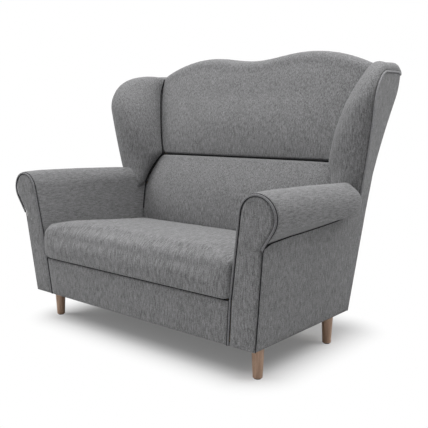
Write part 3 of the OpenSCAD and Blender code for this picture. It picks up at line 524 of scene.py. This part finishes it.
seam_shade_tube("facing_seam_right",
       [(x, 6.2 - 1.4 * smooth_step((x - 500) / 20) + lean(z), z) for x, z in arm_edge(8.4)], 1.1)
seam_shade_tube("arm_seam_right", [(x, 9.0 + lean(z), z) for x, z in arm_edge(0.9) if z > 258 or x > 560], 1.1)
seam_shade_tube("corner_seam_right",
       [(facing_side(z, 0, False) + 0.2, 9.4 + lean(z), z) for z in np.linspace(114, 434, 30)], 1.4)
seam_shade_tube("border_end_seam_right",
       [(arm_in(z) + 0.8, 4.2 + lean(z), z) for z in np.linspace(114, 258, 12)], 1.8)
seam_shade_tube("border_top_seam_shade",
       [(x, 6 + lean(DECK_Z), DECK_Z + 0.2) for x in np.linspace(-459, 459, 40)], 2.2, both_sides=False)


# Outside arms and wings: one flat cloth panel a side over the frame, tacked under the base and pulled
# round the rear corner. It starts at the facing, the seam under the roll and the wing's piping.

# Heights where the wing's piping leaves the roll and where it runs back, and the radius between
WING_FOOT, WING_TOP, CORNER_R = 579, 960, 122.0
CORNER_Z = WING_TOP - CORNER_R


def wing_edge_x(z):
    """Half the width across the wings' front edges."""
    h = z - WING_FOOT
    return 609 + 0.215 * h - 0.00018 * h * h


def wing_edge_y(z):
    """Depth of the wing's front edge."""
    return 531 - 0.085 * (z - WING_FOOT)


def wing_front(z):
    """The wing's outer front edge at height z, set back round the top corner."""
    e, r = np.array([wing_edge_x(z), wing_edge_y(z)]), np.array([rear_x(z), rear_y(z)])
    run = 0.0 if z < CORNER_Z else CORNER_R - math.sqrt(max(0.0, CORNER_R ** 2 - (z - CORNER_Z) ** 2))
    return e + (r - e) * run / (r[1] - e[1])


def wing_outer(z, y):
    """Width of the outside wing at depth y and height z."""
    f, r = wing_front(z), np.array([rear_x(z), rear_y(z)])
    return f[0] + (r[0] - f[0]) * (y - f[1]) / (r[1] - f[1])


def outside(y, z):
    """Half the width of the outside, blended from the arm's below to the wing's above."""
    share = smooth_step((z - 440) / 150)
    return side_x(y, z) * (1 - share) + (wing_outer(max(z, 470), y) if share else 0) * share


# The panel's front rim: up the facing, back under the roll, up behind the wing's piping and round its corner
UNDER_PIPING = 1.5
rim = [(9.8 + lean(z), z) for z in np.linspace(HEM_Z, 424, 20)]
rim += [(y, under_roll(y) - 2.2)
        for y in (-6, 4, 14, 26, 44, 70, 122, 170, 215, 270, 330, 370, 411, 450, 489, 520)]
rim += [(wing_front(z)[1] + UNDER_PIPING, z)
        for z in (492, 510, 530, 548, 565, *np.linspace(580, CORNER_Z - 5, 15))]
for a in np.radians(np.linspace(8, 90, 12)):
    z = CORNER_Z + (CORNER_R - UNDER_PIPING) * math.sin(a)
    rim.append((wing_edge_y(z) + CORNER_R - (CORNER_R - UNDER_PIPING) * math.cos(a), z))
# The height at which each line from the rim reaches the rear
rear_rise = np.interp(np.arange(len(rim)), [0, 19, 35, 41, 56, len(rim) - 1],
                      [HEM_Z, 330, 476, 600, 820, 968.5])
# Radius of the rear corner, the share of a row before it, and how far the cloth is pulled round it
REAR_ROUND, FLAT_SHARE, PULLED_ROUND = 10, 0.97, 24
panel_rows = []
for (y, z), z_rear in zip(rim, rear_rise):
    y_rear = rear_y(z_rear)
    y_flat = y_rear - REAR_ROUND
    row = []
    for u in np.concatenate([[0, 0.006, 0.02, 0.045], np.linspace(0.08, FLAT_SHARE, 22)]):
        depth, height = y + (y_flat - y) * u / FLAT_SHARE, z + (z_rear - z) * u / FLAT_SHARE
        near = math.hypot(depth - y, height - z)
        edge_in = 3.0 * math.exp(-near / 3.5) + 2.5 * math.exp(-max(0.0, height - HEM_Z) / 4)
        row.append((outside(depth, height) - edge_in, depth, height))
    x_corner = outside(y_flat, z_rear)
    for a in np.radians([22.5, 45, 67.5, 90]):
        row.append((x_corner - REAR_ROUND * (1 - math.cos(a)), y_flat + REAR_ROUND * math.sin(a), z_rear))
    row.append((x_corner - PULLED_ROUND, y_rear, z_rear))
    panel_rows.append(row)
side_panel = skin("outside_panel_right", panel_rows, wall=7)
pair(side_panel, cover_upright, "upholstery", "outside_arm", more=("outside_wing",))

roll_seam = []
for y in np.linspace(-4, 528, 60):
    z = under_roll(y)
    roll_seam.append((max(side_x(y, z) + 1.2, outside(y, z) + 0.3), y, z - 1.4))
# Painted shade: a dark tube in the fold under the roll
seam_shade_tube("roll_seam_right", roll_seam, 1.6)


# Wings: a thick roll of foam and fleece swept up the front edge, round the top corner and back along the
# top, with one cover from the crease beside the back to the piping.

# Half the width of the upper pad's crest, and the height where its crease ends
CREST_X, CREST_Z = 527.0, 988
# The seam between the back pads: its height, and half its width and its depth where it ends at the wings
SEAM_Z, SEAM_X, SEAM_Y = 645, 440, 620
# The wing's lowest station, its crease's top, its rear tip and the length over which the tip rounds off
WING_LOW, CREASE_TOP, TIP_Y, TIP_ROUND = 481, 985, 830, 82
CREASE_GAP = 0.5


def crease_x(z):
    """Half the width between the creases beside the back pads."""
    if z < SEAM_Z:
        low = 65 * (1 - (1 - min(1.0, (SEAM_Z - z) / 121)) ** 1.8)
        return SEAM_X + low + max(0.0, ROLL[1] - z) * 0.5
    return SEAM_X + (CREST_X - SEAM_X) * min(1.0, (z - SEAM_Z) / 276)


def crease_y(z):
    """Depth of the creases."""
    t = (z - SEAM_Z) / (CREST_Z - SEAM_Z)
    return SEAM_Y - 0.36 * (SEAM_Z - z) if z < SEAM_Z else SEAM_Y + 107 * t - 40 * t * (1 - t)


def wing_stations():
    """Points on the piping line with their points on the crease and the line's turn from upright."""
    turns = [(z, z, 0.0) for z in np.linspace(WING_LOW, CORNER_Z, 28)]
    for a in range(6, 91, 6):
        s = math.sin(math.radians(a))
        turns.append((CORNER_Z + CORNER_R * s, CORNER_Z + (CREASE_TOP - CORNER_Z) * s, float(a)))
    found = [((*wing_front(z), z), (crease_x(z_in) + CREASE_GAP, crease_y(z_in), z_in), a)
             for z, z_in, a in turns]
    y_out, y_in = wing_front(WING_TOP)[1], crease_y(CREASE_TOP)
    for t in (0.08, 0.17, 0.25, 0.34, 0.42, 0.5, 0.58, 0.67, 0.75, 0.83, 0.88, 0.92, 0.95, 0.97,
              0.985, 0.995, 1):
        y, rise = y_out + (TIP_Y - y_out) * t, 10 * t - 17 * smooth_step((t - 0.55) / 0.55)
        crease = (crease_x(CREASE_TOP) + CREASE_GAP, y_in + (TIP_Y - y_in) * t, CREASE_TOP + rise)
        found.append(((wing_outer(WING_TOP, min(y, 790)), y, WING_TOP + rise), crease, 90.0))
    return found


def wing_ring(station):
    """The roll's outline at one station: over the front from crease to piping, then back inside it."""
    f, c, turn = np.array(station[0]), np.array(station[1]), station[2]
    w, e = turn / 90, np.array([0, -math.cos(math.radians(turn)), math.sin(math.radians(turn))])
    tip = math.sqrt(1 - min(0.98, (max(0.0, f[1] - (TIP_Y - TIP_ROUND)) / TIP_ROUND) ** 2))
    b = 1.0 if turn else smooth_step((f[2] - 590) / 190)
    bow = 430 + (0.00097 if f[2] > SEAM_Z else 0.0006) * (min(f[2], 865) - SEAM_Z) ** 2 - min(c[0], 509)
    # How the cover swells from the piping and from the crease: sideways, and outwards along e. The first
    # pair holds on the front edge and the second along the top
    swell_f = np.array([-50, 60]) * (1 - w) * (0.65 + 0.35 * b) + np.array([16, 44]) * w
    swell_c = np.array([bow, 80 + 44 * b]) * (1 - w) + np.array([25, 15]) * w
    pull_f = np.array([swell_f[0], e[1] * swell_f[1], e[2] * swell_f[1]])
    pull_c = np.array([swell_c[0], e[1] * swell_c[1], e[2] * swell_c[1]])
    ring = [bezier(c, c + pull_c, f + pull_f, f, t) for t in np.linspace(0, 1, 27)]
    q = f - 38 * e
    x_board = wing_outer(q[2], q[1])
    # The rest runs back round the wing board
    ring += [f - np.array([9, 0, 0]) - e, np.array([x_board - 11.5, q[1], q[2]]),
             np.array([x_board - 29, q[1], q[2]]), c + np.array([22, 0, 0]) - 16 * e, c - 14 * e]
    # The tip closes towards a point beside the piping
    heart = 0.8 * f + 0.2 * np.mean(ring[:27], axis=0) + [-12, 0, -2]
    return [heart + (p - heart) * tip for p in ring]


wing = skin("wing_pad_cover_right", [wing_ring(s) for s in wing_stations()], closed=True)
pair(wing, cover_upright, "upholstery", "wing_pad", fill=0.85)

wing_path = [(f[0] + 3.0, f[1] + 1.4 * math.cos(math.radians(a)), f[2] - 1.6 * math.sin(math.radians(a)))
             for f, c, a in wing_stations() if f[1] < 790]
# The cord's end is tucked in under the tip
wing_path += [(wing_path[-1][0] - 5, 794, wing_path[-1][2] + 1),
              (wing_path[-1][0] - 18, 797, wing_path[-1][2] + 3)]
wing_cord = tube("wing_cord_right", wing_path, 3.2)
# The wing's cord gets a lighter yarn and less contrast than the facing's piping: painted light, for the
# bright line that the lit cord shows along the wing's edge
painted_light_piping = chenille("chenille_bias_piping_painted_light", "xyz", yarn="#98989a", contrast=0.4)
pair(wing_cord, painted_light_piping, "piping", "wing_piping")


# Front border: a flat padded strip of the cover under the seat cushion, from arm to arm, drawn in to a
# dark seam at each end and tacked under the base.

# Heights of the strip's edges, and how far its face stands out
BORDER_FOOT, BORDER_TOP, BORDER_SWELL = 113.2, 258.8, 8.0
border_rows = []
for z in np.concatenate([[BORDER_FOOT, 114, 116, 120], np.linspace(127, 246, 12),
                         [252, 256, 258, BORDER_TOP]]):
    half = arm_in(z) + 2.5
    row = []
    for s in np.concatenate([[-1, -0.998, -0.994, -0.985, -0.97], np.linspace(-0.94, 0.94, 41),
                             [0.97, 0.985, 0.994, 0.998, 1]]):
        near = min((1 - abs(s)) * half, z - BORDER_FOOT + 1.0, BORDER_TOP - z)
        out = BORDER_SWELL * (1 - math.exp(-max(0.0, near) / 5)) ** 0.6
        row.append((s * half, 10 - out + lean(z), z))
    border_rows.append(row)
border = skin("front_border_cover", border_rows, wall=7)
dress(border, cover_upright, "upholstery", "front_border")


# Seat cushion: one foam block over the springs in a boxed cover, crowned, with a soft nose over the
# border and round front corners. Its sides are pressed between the arms.

# The cushion's depth, and its height at the front
SEAT_D, SEAT_H = 522, 160
# How much lower the cushion is at the rear, and the depth from which it falls
SEAT_SINK, SINK_FROM = 46, 40


def seat_outline(d, z):
    """The cushion's outline at height z, inside its full size by d."""
    hx, y1, y2 = arm_in(z) - 1 - d, d, SEAT_D - d
    r = max(4.0, 24 + 14 * smooth_step((z - 350) / 50) - d * 0.1)
    wide, deep = 2 * hx - 2 * r, y2 - y1 - 2 * r

    def corner(x, y, turn, steps):
        return [(x + r * math.cos(a), y + r * math.sin(a))
                for a in np.radians(np.linspace(turn, turn + 90, steps))]

    return [*corner(-hx + r, y1 + r, 180, 9), *[(-hx + r + wide * k / 22, y1) for k in range(1, 22)],
            *corner(hx - r, y1 + r, 270, 9), *[(hx, y1 + r + deep * k / 10) for k in range(1, 10)],
            *corner(hx - r, y2 - r, 0, 5), *[(hx - r - wide * k / 22, y2) for k in range(1, 22)],
            *corner(-hx + r, y2 - r, 90, 5), *[(-hx, y2 - r - deep * k / 10) for k in range(1, 10)]]


def seat_ring(d, h, nose):
    """One line round the cushion, h above the deck at its front, with its front pushed out by nose."""
    ring = []
    for x, y in seat_outline(d, DECK_Z + h):
        front = max(0.0, 1 - y / 120)
        middle = 1 - (abs(x) / 501) ** 30
        z = DECK_Z + h * (1 - SEAT_SINK / SEAT_H * max(0.0, y - SINK_FROM) / (SEAT_D - SINK_FROM))
        y -= nose * front * (0.45 + 0.55 * middle)
        # In front of the arms the cushion keeps its widest width down to the border
        over = max(0.0, arm_in(385) + 1 - arm_in(z)) * smooth_step((8 - y) / 12) * smooth_step(h / 24)
        ring.append((x * (arm_in(z) - 1 - d + over) / (arm_in(DECK_Z + h) - 1 - d), y, z))
    return ring


# Inset, height and nose of each line, from the middle of the underside to the middle of the top
seat_steps = [(30, 0, 0), (5, 0.3, 14.3), (0.5, 3, 17), (0, 24, 23), (0, 41, 24.7), (0, 62, 25.8),
              (0, 84, 26), (0.2, 102, 25.6), (1.6, 117, 24), (7, 132, 19.6), (22, 142.5, 11),
              (56, 150.5, 0), (90, 153.8, 0), (120, 156.4, 0), (165, 158.8, 0), (210, SEAT_H, 0)]
seat = skin("seat_cushion_cover", [seat_ring(*s) for s in seat_steps], closed=True)


def rounded(piece):
    """Round a cage off with subdivision."""
    bpy.context.view_layer.objects.active = piece
    smooth = piece.modifiers.new("rounding", "SUBSURF")
    smooth.levels = smooth.render_levels = 1
    bpy.ops.object.modifier_apply(modifier="rounding")


def plump(piece, cap, held):
    """Foam and fleece press the cover out between the places where it is sewn or pinched. The cap on a
    point's travel is in mm, and held gives the share to which a place is fixed."""
    bpy.ops.object.select_all(action="DESELECT")
    piece.select_set(True)
    bpy.context.view_layer.objects.active = piece
    # The cover is laid out anew in even cells of 7.5 mm
    grid = piece.modifiers.new("grid", "REMESH")
    grid.mode, grid.voxel_size, grid.use_smooth_shade = "VOXEL", 0.0075, True
    bpy.ops.object.modifier_apply(modifier="grid")
    # The grid leaves steps on shallow slopes, which are smoothed out
    settle = piece.modifiers.new("settle", "SMOOTH")
    settle.factor, settle.iterations = 0.5, 10
    bpy.ops.object.modifier_apply(modifier="settle")
    pinned, slack = piece.vertex_groups.new(name="pinned"), piece.vertex_groups.new(name="slack")
    for corner in piece.data.vertices:
        x, y, z = corner.co * 1000
        share = min(1.0, held(abs(x), y + Y_MID, z))
        pinned.add([corner.index], share, "REPLACE")
        slack.add([corner.index], 1 - share, "REPLACE")
    # The cover starts a little small, so that it ends at its drawn size
    shrink = piece.modifiers.new("shrink", "DISPLACE")
    shrink.vertex_group, shrink.mid_level, shrink.strength = "slack", 0.0, -0.7 * cap / 1000
    bpy.ops.object.modifier_apply(modifier="shrink")
    before, after = (np.empty(3 * len(piece.data.vertices)) for _ in range(2))
    piece.data.vertices.foreach_get("co", before)
    cloth = piece.modifiers.new("cloth", "CLOTH").settings
    cloth.use_pressure, cloth.uniform_pressure_force, cloth.effector_weights.gravity = True, 4, 0
    cloth.vertex_group_mass = "pinned"
    for step in range(1, 21):
        bpy.context.scene.frame_set(step)
    bpy.ops.object.modifier_apply(modifier="cloth")
    bpy.context.scene.frame_set(1)
    piece.data.vertices.foreach_get("co", after)
    shift = (after - before).reshape(-1, 3)
    size = np.linalg.norm(shift, axis=1, keepdims=True)
    shift *= np.minimum(1, cap / 1000 / np.maximum(size, 1e-9))
    piece.data.vertices.foreach_set("co", before + shift.ravel())
    # The fleece under the cover hides the finest creases
    fleece = piece.modifiers.new("fleece", "SMOOTH")
    fleece.factor, fleece.iterations, fleece.vertex_group = 0.5, 14, "slack"
    bpy.ops.object.modifier_apply(modifier="fleece")
    piece.vertex_groups.clear()
    rounded(piece)
    bpy.ops.object.shade_smooth()


rounded(seat)
# Held: the sides between the arms, the underside, and the rear under the back pad
plump(seat, 9, lambda x, y, z: max(smooth_step((x - arm_in(z) + 24) / 14) * smooth_step((y - 4) / 14),
                                   smooth_step((300 - z) / 36), smooth_step((y - 380) / 100)))
dress(seat, cover_seat, "upholstery", "seat_cushion", fill=0.8)


# Back pads: an upper one with the humped top rolled over the rear, and a lower one down to the seat,
# each foam with fleece under the cover, and drawn in to the seam between them and to the wings.

# Depth of the lower pad's front behind the seat, and how far the pads' rear lies in front of the sofa's
PAD_FRONT, PAD_REAR = 524, 48.6
# Radius of the crest, and how far below its top it ends at the rear
CREST_R, CREST_BACK = 45, 80
# The lower pad's front runs straight up to here, hidden behind the seat cushion
TUCK = 343
# Places across a pad, from crease to crease
SHARES = [math.sin(math.radians(a)) for a in np.linspace(-90, 90, 61)]


def top_z(x):
    """Height of the humped top: low in the middle, highest above each seat, and falling to the wings."""
    x = abs(x)
    return 1041 + 24 * (1 - math.cos(math.pi * x / 250)) / 2 if x < 250 else 1065 - 0.00083 * (x - 250) ** 2


def pad_rear(z):
    """Depth of the pads' rear, on the frame."""
    return rear_y(z) - PAD_REAR


def crown(s):
    """How full a pad is across its width."""
    return max(0.0, 1 - abs(s) ** 3) ** 0.6


def swell(t):
    """How full a pad is above a seam."""
    t = max(0.0, min(1.0, t))
    return math.sqrt(max(0.0, 1 - (1 - t / 0.22) ** 2)) if t < 0.22 else 1.0


def upper_ring(s):
    """The upper pad's outline: up its front, over the crest and down its rear."""
    top = top_z(s * CREST_X)
    z1, z2, zb = top - CREST_R, top - CREST_BACK, SEAM_Z + 1
    yr = rear_y(z1)
    zf = [zb + (z1 - zb) * (k / 20) ** 1.3 for k in range(21)]
    yf = [crease_y(z) - 30 * crown(s) * swell((z - zb) / (z1 - zb)) for z in zf]
    yc, ry = (yf[-1] + yr) / 2, (yr - yf[-1]) / 2
    line = list(zip(yf, zf))
    line += [(yc - ry * math.cos(math.radians(k * 12)), z1 + CREST_R * math.sin(math.radians(k * 12)))
             for k in range(1, 15)]
    line += [(yr, z1), (yr, z2), (pad_rear(z2), z2)]
    line += [(pad_rear(z2 - (z2 - zb) * k / 8), z2 - (z2 - zb) * k / 8) for k in range(1, 9)]
    return [(s * (crease_x(z) - 0.5), y, z) for y, z in line]


upper = skin("upper_back_cover", [upper_ring(s) for s in SHARES], closed=True)
# Held: the creases, the seam, the rear, and the crest from its front edge on
plump(upper, 8, lambda x, y, z: max(smooth_step((x - crease_x(z) + 18) / 12), smooth_step((662 - z) / 9),
                                    smooth_step((y - crease_y(min(z, CREST_Z)) + 2) / 6) * (z < 950),
                                    smooth_step((z - 840) / 170)))
dress(upper, cover_upright, "upholstery", "upper_back_pad", fill=0.8)


def lower_half(z):
    """Half the width of the lower pad."""
    return min(arm_in(min(z, 524)), crease_x(max(z, 500))) - 1


def lower_front(z):
    """Depth of the lower pad's front before it swells."""
    if z < TUCK:
        return PAD_FRONT - 0.5
    return PAD_FRONT + (SEAM_Y - PAD_FRONT) * ((z - TUCK) / (SEAM_Z - TUCK)) ** 1.25


def lower_ring(s):
    """The lower pad's outline: up its front and down its rear."""
    top = SEAM_Z - 1
    zf = [260, TUCK - 2] + [TUCK + (top - TUCK) * math.sin(math.radians(k * 3.75)) for k in range(25)]
    yf = [lower_front(z) - (0 if z < TUCK else 34 * crown(s) * swell((z - TUCK) / (top - TUCK))
                            * swell((top - z) / (top - TUCK))) for z in zf]
    line = list(zip(yf, zf))
    line += [(max(pad_rear(z), lower_front(z) + 6), z) for z in [top] + [600 - 340 * k / 5 for k in range(6)]]
    return [(s * lower_half(z), y, z) for y, z in line]


lower = skin("lower_back_cover", [lower_ring(s) for s in SHARES], closed=True)
# Held: the sides, the seam, the part behind the seat, and the rear
plump(lower, 8, lambda x, y, z: max(smooth_step((x - lower_half(z) + 18) / 12), smooth_step((z - 628) / 9),
                                    smooth_step((TUCK + 30 - z) / 20),
                                    smooth_step((y - lower_front(z) + 2) / 6)))
dress(lower, cover_upright, "upholstery", "lower_back_pad", fill=0.8)
# Painted shade: dark tubes in the creases beside the pads and in the seam between them
seam_shade_tube("crease_seam_right",
       [(crease_x(z) - 0.2, crease_y(z) - 1.4, z) for z in np.linspace(646, 984, 50)], 2.4)
seam_shade_tube("pad_seam",
       [(x, crease_y(SEAM_Z) - 0.5, SEAM_Z) for x in np.linspace(-439, 439, 40)], 2.9, both_sides=False)
seam_shade_tube("lower_pad_seam_right",
       [(lower_half(z) + 0.4, lower_front(z) - 1.2, z) for z in np.linspace(400, 644, 40)], 2.4)


# Outside back: one panel of the cover stretched over the rear of the frame, from the base to the rolled
# crest, hand closed down both sides.

# Rows are level up to the first height. Those above it are spread up to the panel's top edge
LEVEL_Z, LAST_Z = 900, 963
# How far the panel ends inside the corners, and how far its edges are drawn in
BACK_INSET, BACK_DRAWN = 25, 3.0


def back_edge(x):
    """Top of the panel: under the crest, and beside it up under the wings' rolls."""
    beside = 978 - 15 * smooth_step((abs(x) - 533) / 50)
    return top_z(x) - 81 + (beside - top_z(x) + 81) * smooth_step((abs(x) - 526) / 7)


back_rows = []
# Two more lines a side follow the sharp rise of the edge beside the crest
across = sorted(np.linspace(-1, 1, 49).tolist()
                + [k * 526 / (rear_x(LEVEL_Z) - BACK_INSET) for k in (-1, 1, -1.014, 1.014)])
for z in np.concatenate([[HEM_Z, 116, 121], np.linspace(130, LEVEL_Z, 34), np.linspace(907, LAST_Z, 9)]):
    half, row = rear_x(z) - BACK_INSET, []
    for s in across:
        x = s * half
        up = z if z <= LEVEL_Z else LEVEL_Z + (back_edge(x) - LEVEL_Z) * (z - LEVEL_Z) / (LAST_Z - LEVEL_Z)
        drawn = BACK_DRAWN * (math.exp(-(1 - abs(s)) * half / 5) + math.exp(-(up - HEM_Z) / 4))
        row.append((x, rear_y(up) - drawn, up))
    back_rows.append(row)
back_panel = skin("outside_back_cover", back_rows, wall=6, turn=True)
dress(back_panel, cover_upright, "upholstery", "outside_back")


# Studio: a white floor that runs out into a white ground, three large soft lamps and an even fill, and the
# camera where the photograph was taken from.
bpy.ops.object.select_all(action="DESELECT")
bpy.ops.mesh.primitive_circle_add(vertices=96, radius=14, fill_type="NGON", location=(0, 0, 0))
floor = bpy.context.object
floor.name = "studio_floor"
paper, tree, surface = start("white_paper", 0.9, Specular_IOR_Level=0.0)
surface.inputs["Base Color"].default_value = srgb("#d9d9d9")
place = add(tree, "ShaderNodeTexCoord")
path = add(tree, "ShaderNodeLightPath")
glow = add(tree, "ShaderNodeEmission", {"Color": (1, 1, 1, 1), "Strength": 1.0})
# For the camera the paper fades to plain white over 0.22 m, outside a 0.88 by 0.52 m field under the sofa
away = add(tree, "ShaderNodeVectorMath", {0: place.outputs["Object"]}, operation="ABSOLUTE")
beyond = add(tree, "ShaderNodeVectorMath", {0: away.outputs[0], 1: (0.44, 0.26, 0)}, operation="SUBTRACT")
outward = add(tree, "ShaderNodeVectorMath", {0: beyond.outputs[0], 1: (0, 0, 0)}, operation="MAXIMUM")
reach = add(tree, "ShaderNodeVectorMath", {0: outward.outputs[0]}, operation="LENGTH")
fade = add(tree, "ShaderNodeMapRange",
           {"Value": reach.outputs["Value"], "From Min": 0.0, "From Max": 0.22, "To Min": 0.16},
           interpolation_type="SMOOTHSTEP")
seen = add(tree, "ShaderNodeMath", {0: fade.outputs[0], 1: path.outputs["Is Camera Ray"]},
           operation="MULTIPLY")
mixed = add(tree, "ShaderNodeMixShader", {0: seen.outputs[0], 1: surface.outputs[0], 2: glow.outputs[0]})
tree.links.new(mixed.outputs[0], tree.nodes["Material Output"].inputs["Surface"])
floor.data.materials.append(paper)

world = bpy.data.worlds.new("studio_fill")
bpy.context.scene.world = world
world.use_nodes = True
tree = world.node_tree
fill_light = tree.nodes["Background"]
fill_light.inputs["Color"].default_value = (1, 1, 1, 1)
fill_light.inputs["Strength"].default_value = 0.14
path = add(tree, "ShaderNodeLightPath")
ground = add(tree, "ShaderNodeBackground", {"Color": (1, 1, 1, 1), "Strength": 1.0})
rays = add(tree, "ShaderNodeMath", {0: path.outputs["Is Camera Ray"], 1: path.outputs["Is Glossy Ray"]},
           operation="MAXIMUM")
rays = add(tree, "ShaderNodeMath", {0: rays.outputs[0], 1: path.outputs["Is Transmission Ray"]},
           operation="MAXIMUM")
mixed = add(tree, "ShaderNodeMixShader", {0: rays.outputs[0], 1: fill_light.outputs[0], 2: ground.outputs[0]})
tree.links.new(mixed.outputs[0], tree.nodes["World Output"].inputs["Surface"])

# Each lamp's place and size in metres and its power in watts. All are aimed at the middle of the seat
for name, spot, size, power in (("key_softbox", (-3.4, -2.9, 3.2), 3.0, 112),
                                ("top_softbox", (0.2, -0.3, 4.6), 3.6, 166),
                                ("rear_softbox", (2.2, 1.7, 2.7), 2.0, 48)):
    lamp = bpy.data.lights.new(name, "AREA")
    lamp.shape, lamp.size, lamp.energy = "SQUARE", size, power
    holder = bpy.data.objects.new(name, lamp)
    bpy.context.collection.objects.link(holder)
    holder.location = spot
    holder.rotation_euler = (Vector((0, 0, 0.5)) - Vector(spot)).to_track_quat("-Z", "Y").to_euler()

# As fitted to the photograph: the view's turn to the side and its dip, the camera's place and its lens
turn, dip = math.radians(40.63), math.radians(8.39)
camera = bpy.data.objects.new("camera", bpy.data.cameras.new("camera"))
bpy.context.collection.objects.link(camera)
camera.location = (1.6128, -1.8001, 0.7899)
aim = Vector((-math.sin(turn) * math.cos(dip), math.cos(turn) * math.cos(dip), -math.sin(dip)))
camera.rotation_euler = aim.to_track_quat("-Z", "Y").to_euler()
camera.data.lens, camera.data.sensor_width = 52.77, 36
bpy.context.scene.camera = camera
bpy.context.scene.view_settings.view_transform = "Standard"
